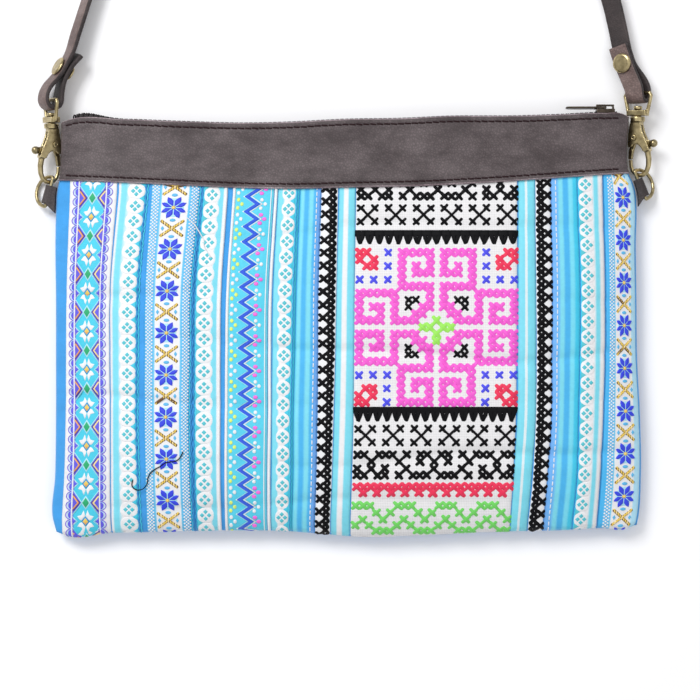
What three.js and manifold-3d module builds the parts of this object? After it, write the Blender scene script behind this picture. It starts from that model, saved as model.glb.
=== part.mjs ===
// Embroidered zip pouch with a leather band and a clip-on leather strap, lying flat on its back.
// Millimetres, +Z up, +Y towards the zip; the origin is on the back face, under the middle of the pouch.
import * as THREE from "three";
import { mergeVertices } from "three/addons/utils/BufferGeometryUtils.js";
import Module from "manifold-3d";

const wasm = await Module();
wasm.setup();

// Sizes
const HALF_W = 140; // half the pouch's width
const HALF_H = 100; // half its height
const WALL = 1.6; // cloth and lining, and the leather band
const GAP = 0.3; // between pieces that touch on the real object
const SEAM_Z = 6.5; // height of the side and bottom seams
const PILLOW = 13; // how far the front stands above the seam
const PILLOW_RUN = 0.5 * HALF_W; // how far in from a side it reaches its full height
const PILLOW_RISE = 0.6 * HALF_H; // the same from the bottom
const BACK_RUN = 18; // width of the back's rounded edge
const BAND_LIFT = 0.4; // band above the cloth
const RIBBON_LIFT = 0.35; // ribbons above the cloth
const RIBBON_T = 0.8;
const RIBBON_STOP = 0.4; // ribbons end this far below the band
const BACK_DROP = SEAM_Z - GAP / 2 - WALL; // the back's inner face lies this far below the seam
const BACK_BAND_DROP = BACK_DROP - BAND_LIFT - WALL; // and this far where the back band lies under it
const MOUTH_RISE = 4.95; // front wall above the seam at the open edge
const MOUTH_FROM = 105; // the front starts to fall to the mouth this far above the bottom
const BACK_BAND_Y = 0.67 * HALF_H; // lower edge of the back band
const BACK_STEP = 7; // the back dips under its band over this length
const TAPE_T = 0.7;
const TAPE_LEG = 9;
const TAPE_TOP = 1.2; // tapes end this far below the band's top edge
const TAPE_OFF = 0.45; // tape to wall
const COIL_END = 0.936 * HALF_W;
const COIL_TOP = 1.3;
const COIL_BELOW = 0.6;
const COIL_HALF = 2;

// Outline, as shares of HALF_W and HALF_H
// [across, up]
const BOTTOM = [
  [-1, -0.99], [-0.955, -1.014], [-0.819, -1], [-0.684, -0.995], [-0.548, -0.99], [-0.344, -0.986],
  [-0.209, -0.99], [-0.073, -1.005], [0.063, -1.019], [0.198, -1.014], [0.334, -1.005], [0.47, -0.995],
  [0.606, -0.99], [0.741, -0.986], [0.877, -0.976], [0.945, -0.981], [1, -0.957],
];
const TOP = [
  [-0.975, 0.967], [-0.948, 0.979], [-0.752, 0.976], [-0.548, 0.965], [-0.344, 0.958], [-0.209, 0.962],
  [-0.005, 0.976], [0.198, 0.981], [0.334, 0.99], [0.606, 0.993], [0.741, 1], [0.877, 1.009],
  [0.945, 1.007], [0.965, 0.995],
];
const BAND_EDGE = [
  [-0.979, 0.689], [-0.768, 0.674], [-0.531, 0.658], [-0.341, 0.646], [-0.158, 0.643], [0.012, 0.649],
  [0.249, 0.656], [0.453, 0.67], [0.724, 0.696], [0.952, 0.722],
];
// [up, left side, right side]
const SIDES = [
  [-0.995, -0.994, 0.989], [-0.933, -1.006, 0.999], [-0.724, -0.999, 1.009], [-0.439, -0.996, 1.006],
  [-0.154, -0.996, 0.996], [0.121, -0.996, 0.994], [0.401, -0.998, 0.992], [0.568, -0.995, 0.994],
  [0.639, -0.992, 0.99], [0.682, -0.986, 0.981], [0.724, -0.98, 0.967], [0.829, -0.976, 0.958],
  [0.971, -0.975, 0.965],
];
// Edges of the sewn ribbons: [name, share across at LEVEL_TOP, at LEVEL_MID, at LEVEL_LOW]
const LEVEL_TOP = 0.639 * HALF_H;
const LEVEL_MID = 0.121 * HALF_H;
const LEVEL_LOW = -0.933 * HALF_H;
const EDGES = [
  ["diamond_l", -0.942, -0.954, -0.972],
  ["diamond_r", -0.777, -0.801, -0.804],
  ["clover_1_l", -0.77, -0.796, -0.799],
  ["clover_1_r", -0.677, -0.704, -0.704],
  ["flower_1_l", -0.66, -0.68, -0.68],
  ["flower_1_r", -0.497, -0.528, -0.531],
  ["clover_2_l", -0.485, -0.512, -0.516],
  ["clover_2_r", -0.416, -0.431, -0.433],
  ["zigzag_l", -0.377, -0.397, -0.405],
  ["zigzag_r", -0.243, -0.265, -0.271],
  ["clover_3_l", -0.23, -0.247, -0.256],
  ["clover_3_r", -0.161, -0.182, -0.188],
  ["ombre_1_l", -0.154, -0.173, -0.183],
  ["ombre_1_r", -0.085, -0.095, -0.109],
  ["chain_1_l", -0.08, -0.09, -0.105],
  ["chain_1_r", -0.029, -0.036, -0.054],
  ["stripe_1_l", -0.025, -0.032, -0.05],
  ["stripe_1_r", 0.031, 0.025, 0.008],
  ["cross_stitch_l", 0.034, 0.029, 0.012],
  ["cross_stitch_r", 0.582, 0.577, 0.555],
  ["stripe_2_l", 0.586, 0.581, 0.559],
  ["stripe_2_r", 0.638, 0.636, 0.614],
  ["chain_2_l", 0.642, 0.64, 0.618],
  ["chain_2_r", 0.692, 0.692, 0.667],
  ["ombre_2_l", 0.696, 0.696, 0.671],
  ["ombre_2_r", 0.784, 0.787, 0.765],
  ["clover_4_l", 0.788, 0.791, 0.769],
  ["clover_4_r", 0.865, 0.87, 0.841],
  ["flower_2_l", 0.872, 0.877, 0.847],
  ["flower_2_r", 0.987, 0.988, 0.988],
];
// Extra grid lines inside the wide ribbons: [left edge, right edge, shares between them]
const EXTRA = [
  ["side_l", "diamond_l", [0.35]],
  ["diamond_l", "diamond_r", [0.5]],
  ["flower_1_l", "flower_1_r", [0.5]],
  ["cross_stitch_l", "cross_stitch_r", [0.25, 0.5, 0.75]],
  ["flower_2_l", "flower_2_r", [0.4, 0.8]],
];
const EDGE_STEP = 1.4; // the last ribbon stays this far inside the side

// Clasps and rings, in the clasp's own frame: x towards the pouch, y along it, origin under the collar
const CLASP_PITCH = 5.6; // degrees: the strap end lies higher
const HOOK_TILT = 32; // degrees: the outer arm lies higher
const BAR_Y = 13.6; // centre of the eye's bar
const BAR_R = 0.95;
const COLLAR_R = 3.5;
const COLLAR_H = 2.4;
const EYE_BASE_H = 2.8;
const POST_R = 1.4;
const HEAD_R = 2.1;
const TRUNK_T = 4.4;
const SLOT_T = 2;
const GATE_T = 1.4;
const PIVOT = [1.2, -7.6];
const PIN_R = 0.85;
const PIN_HEAD_R = 1.45;
// at: under the collar; ring: the middle of its bar, from at; eye: its direction; lean: its bar from +Y;
// grain: how far up the strap's grain side looks; root: the tab's gap from the side
const CLASPS = {
  left: {
    side: -1, at: [-HALF_W - 1.8, HALF_H - 5.7, SEAM_Z - 0.63], ring: [-1, -30.5, 0.23],
    eye: [0.574, 0.819], lean: 15, grain: 35, root: 0.5,
  },
  right: {
    side: 1, at: [HALF_W - 0.1, HALF_H - 2.4, SEAM_Z - 0.63], ring: [1, -30.5, 0.53],
    eye: [0.8, 0.6], lean: 22, grain: -53, root: 0.85,
  },
};
const RING_R = 7.3; // centre line
const RING_WIRE = 0.9;
const RING_LEG = 1.2;
const RING_DROP = 35; // degrees below the floor's plane, outwards
const TAB_T = 1.2;
const TAB_FROM = -5.8; // along the ring's bar
const TAB_TO = 2.8;

// Strap
const STRAP_W = 9.6; // RUN's heights and LEAD's last four columns are shares of it
const STRAP_T = 2.3; // FOLD's second column is in shares of it
const STRAP_REACH = 524; // from the bag's top edge to the far side of the strap's loop
const RIVET_UP = 14.5; // above the bar; FOLD and LEAD's first columns are shares of it
const RIVET_R = 4.7;
const RIVET_BACK_R = 3.4;
const RIVET_SHANK = 1.3;
const RIVET_T = 1.2;

// Colours
const COLOR = {
  blue: 0x4aa8ee, ribbon: 0x6cd6ee, white: 0xeeeef0, leather: 0x4b3f3e, brass: 0x9a8a62,
  tape: 0x5a5254, zip: 0x6f655c, strap: 0x7d6d68,
};

const V = (x, y, z) => new THREE.Vector3(x, y, z);
const rad = THREE.MathUtils.degToRad;
const lerp = THREE.MathUtils.lerp;
const clamp01 = (t) => Math.min(1, Math.max(0, t));
const group = new THREE.Group();

// Straight lines between the rows of a table; column 0 is the key.
function along(table, key, column) {
  if (key <= table[0][0]) return table[0][column];
  for (let i = 1; i < table.length; i++) {
    const [a, b] = [table[i - 1], table[i]];
    if (key <= b[0]) return lerp(a[column], b[column], (key - a[0]) / (b[0] - a[0]));
  }
  return table[table.length - 1][column];
}
const bottomY = (x) => HALF_H * along(BOTTOM, x / HALF_W, 1);
const topY = (x) => HALF_H * along(TOP, x / HALF_W, 1);
const bandY = (x) => HALF_H * along(BAND_EDGE, x / HALF_W, 1);
const leftX = (y) => HALF_W * along(SIDES, y / HALF_H, 1);
const rightX = (y) => HALF_W * along(SIDES, y / HALF_H, 2);

// Shape of the two walls
const swell = (d, run) => Math.pow(1 - Math.pow(1 - clamp01(d / run), 2.5), 0.75);
const round = (d, run) => 1 - Math.pow(1 - clamp01(d / run), 2);
const inset = (x, y) => Math.min(x - leftX(y), rightX(y) - x);
const mouthShape = (x, y) => {
  const share = (x - leftX(y)) / (rightX(y) - leftX(y));
  return 1 - Math.pow(clamp01(Math.abs(2 * share - 1)), 10);
};
function frontInner(x, y) {
  const up = y - bottomY(x);
  const t = clamp01((up - MOUTH_FROM) / (topY(x) - bottomY(x) - MOUTH_FROM));
  const q = t * t * (3 - 2 * t);
  const body = PILLOW * swell(inset(x, y), PILLOW_RUN) * swell(up, PILLOW_RISE);
  return SEAM_Z + GAP / 2 + (1 - q) * body + q * MOUTH_RISE * mouthShape(x, y);
}
function backInner(x, y) {
  const t = clamp01((y - BACK_BAND_Y + BACK_STEP) / (BACK_STEP - 0.5));
  const drop = lerp(BACK_DROP, BACK_BAND_DROP, t);
  return SEAM_Z - GAP / 2 - drop * round(inset(x, y), BACK_RUN) * round(y - bottomY(x), BACK_RUN);
}
const middleZ = (x) => (frontInner(x, topY(x)) + backInner(x, topY(x))) / 2;
const mouthGap = (x) => frontInner(x, topY(x)) - backInner(x, topY(x));

// Meshes
function add(name, geometry, color, parent = group) {
  const flat = geometry.index ? geometry.toNonIndexed() : geometry;
  flat.computeVertexNormals();
  const metal = color === COLOR.brass;
  const finish = metal ? { roughness: 0.4, metalness: 0.9 } : { roughness: 0.85, metalness: 0 };
  const material = new THREE.MeshStandardMaterial({ color, ...finish });
  const mesh = new THREE.Mesh(flat, material);
  mesh.name = name;
  parent.add(mesh);
  return mesh;
}
// A group of its own place and turn, for pieces drawn in a frame of their own.
function placed(matrix) {
  const inner = new THREE.Group();
  inner.applyMatrix4(matrix);
  group.add(inner);
  return inner;
}
// A closed mesh from points and faces, turned to face out.
function closed(points, faces) {
  let volume = 0;
  for (const [a, b, c] of faces) volume += points[a].dot(points[b].clone().cross(points[c]));
  const index = faces.flatMap(([a, b, c]) => (volume < 0 ? [a, c, b] : [a, b, c]));
  const g = new THREE.BufferGeometry();
  g.setAttribute("position", new THREE.Float32BufferAttribute(points.flatMap((p) => [p.x, p.y, p.z]), 3));
  g.setIndex(index);
  return g;
}
// A closed geometry as a solid that can be joined and cut.
function solidOf(g) {
  if (!g.isBufferGeometry) return g;
  const bare = g.clone();
  bare.deleteAttribute("normal");
  bare.deleteAttribute("uv");
  const merged = mergeVertices(bare, 1e-4);
  return new wasm.Manifold(new wasm.Mesh({
    numProp: 3,
    vertProperties: new Float32Array(merged.attributes.position.array),
    triVerts: new Uint32Array(merged.index.array),
  }));
}
const join = (...parts) => parts.map(solidOf).reduce((a, b) => a.add(b));
const cut = (whole, ...parts) => parts.map(solidOf).reduce((a, b) => a.subtract(b), solidOf(whole));
function geometryOf(solid) {
  const m = solid.getMesh();
  const g = new THREE.BufferGeometry();
  const v = new Float32Array(m.numVert * 3);
  for (let i = 0; i < m.numVert; i++)
    v.set(m.vertProperties.subarray(i * m.numProp, i * m.numProp + 3), i * 3);
  g.setAttribute("position", new THREE.BufferAttribute(v, 3));
  g.setIndex(new THREE.BufferAttribute(new Uint32Array(m.triVerts), 1));
  return g;
}
// Two grids of points, one over the other, closed round the rim.
function sheet(low, high) {
  const [ni, nj] = [low.length, low[0].length];
  const points = [...low.flat(), ...high.flat()];
  const id = (i, j, top) => (top ? ni * nj : 0) + i * nj + j;
  const faces = [];
  for (let i = 0; i + 1 < ni; i++)
    for (let j = 0; j + 1 < nj; j++)
      for (const top of [0, 1]) {
        const [a, b, c, d] = [id(i, j, top), id(i + 1, j, top), id(i + 1, j + 1, top), id(i, j + 1, top)];
        faces.push(...(top ? [[a, b, c], [a, c, d]] : [[a, c, b], [a, d, c]]));
      }
  const rim = [];
  for (let i = 0; i < ni - 1; i++) rim.push([i, 0]);
  for (let j = 0; j < nj - 1; j++) rim.push([ni - 1, j]);
  for (let i = ni - 1; i > 0; i--) rim.push([i, nj - 1]);
  for (let j = nj - 1; j > 0; j--) rim.push([0, j]);
  rim.forEach(([i, j], k) => {
    const [m, n] = rim[(k + 1) % rim.length];
    const [a, b, c, d] = [id(i, j, 0), id(m, n, 0), id(m, n, 1), id(i, j, 1)];
    faces.push([a, b, c], [a, c, d]);
  });
  return closed(points, faces);
}
// A skin through rings of equally many points; a loop joins the last ring to the first.
function loft(rings, loop = false) {
  const n = rings[0].length;
  const points = rings.flat();
  const faces = [];
  const last = loop ? rings.length : rings.length - 1;
  for (let i = 0; i < last; i++)
    for (let j = 0; j < n; j++) {
      const [r, s, k] = [i * n, ((i + 1) % rings.length) * n, (j + 1) % n];
      faces.push([r + j, r + k, s + k], [r + j, s + k, s + j]);
    }
  if (!loop) {
    const cap = (ring, base, flip) => {
      const normal = V(0, 0, 0);
      ring.forEach((p, i) => normal.add(p.clone().cross(ring[(i + 1) % n])));
      normal.normalize();
      const x = ring[1].clone().sub(ring[0]).normalize();
      const y = normal.clone().cross(x);
      const flat = ring.map((p) => new THREE.Vector2(p.dot(x), p.dot(y)));
      for (const [a, b, c] of THREE.ShapeUtils.triangulateShape(flat, []))
        faces.push(flip ? [base + a, base + c, base + b] : [base + a, base + b, base + c]);
    };
    cap(rings[0], 0, true);
    cap(rings[rings.length - 1], (rings.length - 1) * n, false);
  }
  return closed(points, faces);
}
// A round wire along points in the plane z = 0; each point is [x, y, radius].
function wire(path, loop, sides = 8) {
  const n = path.length;
  const rings = path.map(([x, y, r], i) => {
    const a = path[loop ? (i + n - 1) % n : Math.max(0, i - 1)];
    const b = path[loop ? (i + 1) % n : Math.min(n - 1, i + 1)];
    const d1 = new THREE.Vector2(x - a[0], y - a[1]).normalize();
    const d2 = new THREE.Vector2(b[0] - x, b[1] - y).normalize();
    const d = d1.clone().add(d2).normalize();
    const mitre = 1 / Math.max(0.7, Math.abs(d.dot(d1.length() ? d1 : d2)));
    return Array.from({ length: sides }, (_, k) => {
      const t = ((k + 0.5) / sides) * 2 * Math.PI;
      const w = r * Math.cos(t) * mitre;
      return V(x - d.y * w, y + d.x * w, r * Math.sin(t));
    });
  });
  return loft(rings, loop);
}
// A flat outline [x, y] thickened to both sides of z = 0.
function plate(outline, thickness) {
  const shape = new THREE.Shape(outline.map(([x, y]) => new THREE.Vector2(x, y)));
  const solid = new THREE.ExtrudeGeometry(shape, { depth: thickness, bevelEnabled: false });
  return solid.translate(0, 0, -thickness / 2);
}
const rod = (r, z0, z1, sides = 14, r1 = r) =>
  new THREE.CylinderGeometry(r1, r, z1 - z0, sides).rotateX(Math.PI / 2).translate(0, 0, (z0 + z1) / 2);
const block = (x0, x1, y0, y1, z0, z1) =>
  new THREE.BoxGeometry(x1 - x0, y1 - y0, z1 - z0).translate((x0 + x1) / 2, (y0 + y1) / 2, (z0 + z1) / 2);

// The grid that the front wall, ribbons and band share
const lineX = new Map([["side_l", leftX], ["side_r", rightX]]);
for (const [name, top, mid, low] of EDGES) {
  const levels = [[LEVEL_LOW, low], [LEVEL_MID, mid], [LEVEL_TOP, top]];
  lineX.set(name, (y) => Math.min(HALF_W * along(levels, y, 1), rightX(y) - EDGE_STEP));
}
const lines = ["side_l", ...EDGES.map((e) => e[0]), "side_r"].map((name) => ({ name, x: lineX.get(name) }));
for (const [a, b, shares] of EXTRA) {
  const at = lines.findIndex((l) => l.name === a) + 1;
  const share = (s) => (y) => lerp(lineX.get(a)(y), lineX.get(b)(y), s);
  const between = shares.map((s) => ({ name: `${a}_${s}`, x: share(s) }));
  lines.splice(at, 0, ...between);
}
const rowY = [
  bottomY, ...[-0.933, -0.724, -0.439, -0.154, 0.121, 0.401, 0.61].map((s) => () => s * HALF_H),
  bandY, (x) => (bandY(x) + topY(x)) / 2, topY,
];
const BAND_ROW = 8;
const grid = lines.map((l) => rowY.map((row) => {
  let y = row(l.x(0));
  for (let i = 0; i < 3; i++) y = row(l.x(y));
  return V(l.x(y), y, frontInner(l.x(y), y));
}));
const lifted = (cells, h) => cells.map((column) => column.map((p) => V(p.x, p.y, p.z + h)));
function patch(name, from, to, row0, row1, lift, thickness, color) {
  const cut = grid.slice(from, to + 1).map((column) => {
    const part = column.slice(row0, row1 + 1).map((p) => p.clone());
    if (row1 === BAND_ROW) {
      const [end, before] = [part[part.length - 1], part[part.length - 2]];
      end.lerp(before, RIBBON_STOP / end.distanceTo(before));
    }
    return part;
  });
  return add(name, sheet(lifted(cut, lift), lifted(cut, lift + thickness)), color);
}
const WHITE_RIBBONS = ["cross_stitch", "chain_1", "chain_2"];
const LAST = lines.length - 1;
add("front_panel", sheet(grid, lifted(grid, WALL)), COLOR.blue);
for (let i = 0; i < EDGES.length; i += 2) {
  const name = EDGES[i][0].slice(0, -2);
  const [from, to] = [0, 1].map((k) => lines.findIndex((l) => l.name === EDGES[i + k][0]));
  const color = WHITE_RIBBONS.includes(name) ? COLOR.white : COLOR.ribbon;
  patch(`ribbon_${name}`, from, to, 0, BAND_ROW, WALL + RIBBON_LIFT, RIBBON_T, color);
}
{
  const cut = grid.map((column) => column.slice(BAND_ROW));
  const low = WALL + BAND_LIFT;
  add("leather_band_front", sheet(lifted(cut, low), lifted(cut, low + WALL)), COLOR.leather);
}

// Back wall and its band
const EDGE_STEPS = [0, 1 / 3, 2 / 3, 1];
const backX = [
  ...EDGE_STEPS.map((s) => (y) => leftX(y) + s * BACK_RUN),
  () => -HALF_W / 2, () => 0, () => HALF_W / 2,
  ...EDGE_STEPS.toReversed().map((s) => (y) => rightX(y) - s * BACK_RUN),
];
const backRows = [
  ...EDGE_STEPS.map((s) => (x) => bottomY(x) + s * BACK_RUN),
  () => -0.4 * HALF_H, () => 0, () => 0.4 * HALF_H, () => BACK_BAND_Y - BACK_STEP, () => BACK_BAND_Y - 0.5,
  (x) => (BACK_BAND_Y + topY(x)) / 2, topY,
];
const backPoint = (fx, row, z) => {
  let y = row(fx(0));
  for (let i = 0; i < 3; i++) y = row(fx(y));
  return V(fx(y), y, backInner(fx(y), y) + z);
};
const backGrid = (rows, z) => backX.map((fx) => rows.map((row) => backPoint(fx, row, z)));
add("back_panel", sheet(backGrid(backRows, -WALL), backGrid(backRows, 0)), COLOR.blue);
const backBandRows = [() => BACK_BAND_Y, ...backRows.slice(9)];
const backBand = sheet(backGrid(backBandRows, -2 * WALL - BAND_LIFT), backGrid(backBandRows, -WALL - BAND_LIFT));
add("leather_band_back", backBand, COLOR.leather);

// Zip: two tapes, the coil, the slider and its pull
const zipX = [-1, ...lines.slice(3, LAST - 2).map((l) => l.x(HALF_H) / COIL_END), 1].map((s) => s * COIL_END)
  .filter((x, i, all) => Math.abs(x) <= COIL_END && (i === 0 || x - all[i - 1] > 3 || i === all.length - 1));
function tape(inner, sign) {
  return loft(zipX.map((x) => {
    const [y0, y1] = [topY(x) - TAPE_TOP, topY(x) - TAPE_TOP - TAPE_LEG];
    const wall = (y) => inner(x, y) - sign * TAPE_OFF;
    const mid = middleZ(x) + (sign * GAP) / 2;
    return [
      V(x, y0, wall(y0)), V(x, y1, wall(y1)), V(x, y1, wall(y1) - sign * TAPE_T),
      V(x, y0 - 0.8, wall(y0 - 0.8) - sign * TAPE_T), V(x, y0 - 0.8, mid), V(x, y0, mid),
    ];
  }));
}
add("zip_tape_front", tape(frontInner, 1), COLOR.tape);
add("zip_tape_back", tape(backInner, -1), COLOR.tape);
const BUMP = { x: -0.9 * HALF_W, width: 9, height: 1.6 }; // the coil stands up at its left end
const coilX = [-1, -0.98, -0.96, -0.93, -0.9, -0.85, -0.77, -0.6, -0.45, -0.3, -0.15, 0, 0.15, 0.3, 0.45, 0.6,
  0.77, 0.87, 0.93, 1].map((s) => s * COIL_END);
add("zip_coil", loft(coilX.map((x) => {
  const rise = BUMP.height * Math.exp(-(((x - BUMP.x) / BUMP.width) ** 2));
  const [y0, y1] = [topY(x) - COIL_BELOW, topY(x) + COIL_TOP + rise];
  const [z, h] = [middleZ(x), Math.min(COIL_HALF, mouthGap(x) / 2 - 0.5)];
  return [
    V(x, y0, z - h), V(x, y0, z + h), V(x, y1 - 0.5, z + h), V(x, y1, z + h - 0.6),
    V(x, y1, z - h + 0.6), V(x, y1 - 0.5, z - h),
  ];
})), COLOR.zip);
const SLIDER = {
  x: 0.886 * HALF_W, half: 4.3, plate: 1.6, plateT: 0.8, side: 1, opening: 1.6, arch: 0.8, archHalf: 0.9,
};
{
  const [y, z] = [topY(SLIDER.x), middleZ(SLIDER.x)];
  const [low, top] = [SLIDER.plate, SLIDER.plate + SLIDER.plateT];
  const [inside, outside] = [COIL_HALF + GAP, COIL_HALF + GAP + SLIDER.side];
  const under = top + SLIDER.opening;
  const h = SLIDER.half;
  const bridge = cut(block(-h, h, top - 0.1, under + SLIDER.arch, -SLIDER.archHalf, SLIDER.archHalf),
    block(-h + 0.9, h - 0.9, top, under, -2, 2));
  const shell = cut(block(-h, h, 0.35, top, -outside, outside),
    block(-h - 1, h + 1, 0, low, -inside, inside));
  const slider = placed(new THREE.Matrix4().setPosition(SLIDER.x, y, z));
  add("zip_slider", geometryOf(join(shell, bridge)), COLOR.brass, slider);
  const outline = [[0.5, -2.3], [0.5, 2.3], [-17.6, 2.3], [-18.8, 1.2], [-18.8, -1.2], [-17.6, -2.3]];
  const pull = geometryOf(cut(plate(outline, 0.9), block(-5.3, -0.5, -1.35, 1.35, -2, 2)));
  const tab = add("zip_pull", pull, COLOR.brass, slider);
  tab.position.y = top + SLIDER.opening / 2;
  tab.rotation.x = Math.PI / 2;
}

// Clasps, rings and tabs
function frame(origin, x, y) {
  const side = x.clone().addScaledVector(y, -x.dot(y)).normalize();
  return new THREE.Matrix4().makeBasis(side, y, side.clone().cross(y)).setPosition(...origin);
}
// Outlines of the clasp's trunk, lever and latch [x, y], and its arm [x, y, radius]
const trunk = [
  [-2, 0.2], [3, 0.2], [4, -6], [4.2, -12.1], [2.4, -12.1], [1.2, -10.9], [-0.6, -10.7],
  [-2.4, -12.2], [-3.6, -14.4], [-6.9, -13.8], [-5.6, -10], [-4.1, -7], [-2.9, -4],
];
const arm = [
  [-4.2, -11.5, 1.5], [-5.4, -14.6, 1.5], [-6, -18, 1.4], [-5.85, -21.3, 1.3], [-4.9, -23.9, 1.2],
  [-3.3, -25.4, 1.1], [-1.4, -25.7, 1.1], [0.6, -25.1, 1.05], [2.1, -23.6, 1], [2.95, -21.2, 0.95],
  [3.2, -18.25, 0.9],
];
const leverOutline = [
  [0, -5.7], [2.3, -5.9], [2.9, -8.4], [3.6, -12.4], [4, -13.6], [4.1, -17.9], [2.4, -17.9],
  [1.5, -13.4], [0.4, -10.1], [-2.4, -9.9], [-4.6, -12], [-7.6, -12], [-7.6, -9], [-5.2, -8.7], [-2.4, -6.7],
];
const tongue = [[1.8, -13.4], [3.9, -13.4], [4.1, -17.9], [2.4, -17.9]];
const ENDS = ["left", "right"];
const frames = {};
for (const name of ENDS) {
  const c = CLASPS[name];
  const inward = -c.side;
  const y = V(0, Math.cos(rad(CLASP_PITCH)), Math.sin(rad(CLASP_PITCH)));
  const hookFrame = frame(c.at, V(inward * Math.cos(rad(HOOK_TILT)), 0, -Math.sin(rad(HOOK_TILT))), y);
  const eyeFrame = frame(c.at, V(c.eye[0], 0, c.eye[1]), y);
  frames[name] = eyeFrame;
  const clasp = placed(hookFrame);
  const turned = (g) => g.rotateX(-Math.PI / 2); // a rod along z becomes one along y
  const pinHole = rod(PIN_R + GAP, -4, 4).translate(...PIVOT, 0);
  const hook = cut(join(turned(rod(COLLAR_R, 0, COLLAR_H, 18)), turned(rod(POST_R, COLLAR_H - 0.2, 6.1)),
    turned(rod(HEAD_R, 5.9, 7.4)), plate(trunk, TRUNK_T), wire(arm, false)),
  block(-9, 6, -13, -1.6, -SLOT_T / 2, SLOT_T / 2), pinHole);
  add(`clasp_hook_${name}`, geometryOf(hook), COLOR.brass, clasp);
  const knob = new THREE.IcosahedronGeometry(2, 1).translate(-8.3, -10.4, 0);
  const gate = cut(join(plate(leverOutline, GATE_T), plate(tongue, 2.2), knob), pinHole);
  add(`clasp_gate_${name}`, geometryOf(gate), COLOR.brass, clasp);
  const end = TRUNK_T / 2 + GAP;
  const pin = cut(join(rod(PIN_R, -end - 0.2, end + 0.2), rod(PIN_HEAD_R, end, end + 0.45),
    rod(PIN_HEAD_R, -end - 0.45, -end)), rod(0.4, -5, 5));
  add(`clasp_pin_${name}`, geometryOf(pin), COLOR.brass, clasp).position.set(...PIVOT, 0);
  const eyePath = [[-5, 4.2], [5, 4.2], [6.8, 12.2], [6, BAR_Y], [-6, BAR_Y], [-6.8, 12.2]]
    .map(([u, v]) => [u, v, BAR_R]);
  const base = COLLAR_H + 0.35;
  const eye = cut(join(wire(eyePath, true), block(-5, 5, base, base + EYE_BASE_H, -2.3, 2.3)),
    turned(rod(POST_R + 0.35, 0, 7)));
  add(`clasp_eye_${name}`, geometryOf(eye), COLOR.brass, placed(eyeFrame));

  // ring: its bar lies in the tab, its arc points out and down
  const barAt = V(...c.at).add(V(...c.ring));
  const bar = V(-c.side * Math.sin(rad(c.lean)), Math.cos(rad(c.lean)), 0);
  const out = V(c.side * Math.cos(rad(c.lean)), Math.sin(rad(c.lean)), 0);
  const fall = out.clone().multiplyScalar(Math.cos(rad(RING_DROP))).add(V(0, 0, -Math.sin(rad(RING_DROP))));
  const ringFrame = new THREE.Matrix4().makeBasis(bar, fall, bar.clone().cross(fall)).setPosition(barAt);
  const ringPath = [[-RING_R + 0.6, 0], [0, 0], [RING_R - 0.6, 0], [RING_R, 0.6]];
  for (let k = 0; k <= 9; k++) {
    const t = (k / 9) * Math.PI;
    ringPath.push([RING_R * Math.cos(t), RING_LEG + RING_R * Math.sin(t)]);
  }
  ringPath.push([-RING_R, 0.6]);
  const ring = wire(ringPath.map(([u, v]) => [u, v, RING_WIRE]), true);
  add(`d_ring_${name}`, ring, COLOR.brass, placed(ringFrame));

  // tab: folded leather round the ring's bar, its root against the side seam
  const nose = RING_WIRE + GAP + TAB_T;
  const section = (s) => {
    const root = (z) => {
      let n = -4;
      for (let i = 0; i < 6; i++) {
        const p = barAt.clone().addScaledVector(bar, s).addScaledVector(out, n);
        const edge = (c.side < 0 ? leftX(p.y) : rightX(p.y)) + c.side * c.root;
        n += (c.side * (edge - p.x)) / out.x / c.side;
      }
      return [n, z];
    };
    const arc = [75, 50, 25, 0, -25, -50, -75].map((a) => [nose * Math.cos(rad(a)), nose * Math.sin(rad(a))]);
    const rise = SEAM_Z - barAt.z;
    return [root(rise + 1.5), ...arc, root(rise - 1.5)].map(([n, z]) =>
      barAt.clone().addScaledVector(bar, s).addScaledVector(out, n).add(V(0, 0, z)));
  };
  const tunnel = rod(RING_WIRE + GAP, -20, 20).applyMatrix4(
    new THREE.Matrix4().makeBasis(out, V(0, 0, 1), out.clone().cross(V(0, 0, 1))).setPosition(barAt));
  const tab = cut(loft([section(TAB_FROM), section(TAB_TO)]), tunnel);
  add(`ring_tab_${name}`, geometryOf(tab), COLOR.leather);
}

// Strap: one leather band from eye to eye, each end folded round the bar and riveted to itself
const Z = V(0, 0, 1);
// Plan of the main run, from the left end to the right:
// [across, up from the bag's top edge, height of the centre, degrees that the grain side looks up]
const RUN = [
  [-0.926, 0.078, 0.667, 34], [-0.897, 0.103, 0.594, 33], [-0.836, 0.153, 0.531, 30],
  [-0.764, 0.219, 0.531, 26], [-0.7, 0.296, 0.531, 22], [-0.65, 0.382, 0.531, 18],
  [-0.621, 0.477, 0.531, 12], [-0.607, 0.573, 0.531, 8], [-0.6, 0.668, 0.526, 4], [-0.586, 0.763, 0.526, 0],
  [-0.55, 0.84, 0.526, -2], [-0.471, 0.905, 0.526, -4], [-0.343, 0.956, 0.526, -6],
  [-0.179, 0.989, 0.526, -8], [0, 1, 0.531, -10], [0.179, 0.989, 0.531, -12], [0.343, 0.956, 0.531, -14],
  [0.479, 0.905, 0.531, -17], [0.564, 0.84, 0.531, -20], [0.607, 0.763, 0.531, -24],
  [0.629, 0.668, 0.521, -29], [0.643, 0.573, 0.51, -34], [0.661, 0.477, 0.5, -39],
  [0.689, 0.382, 0.479, -43], [0.732, 0.296, 0.469, -47], [0.786, 0.219, 0.458, -50],
  [0.85, 0.153, 0.448, -52], [0.914, 0.103, 0.438, -53], [0.934, 0.08, 0.427, -53],
];
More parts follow.
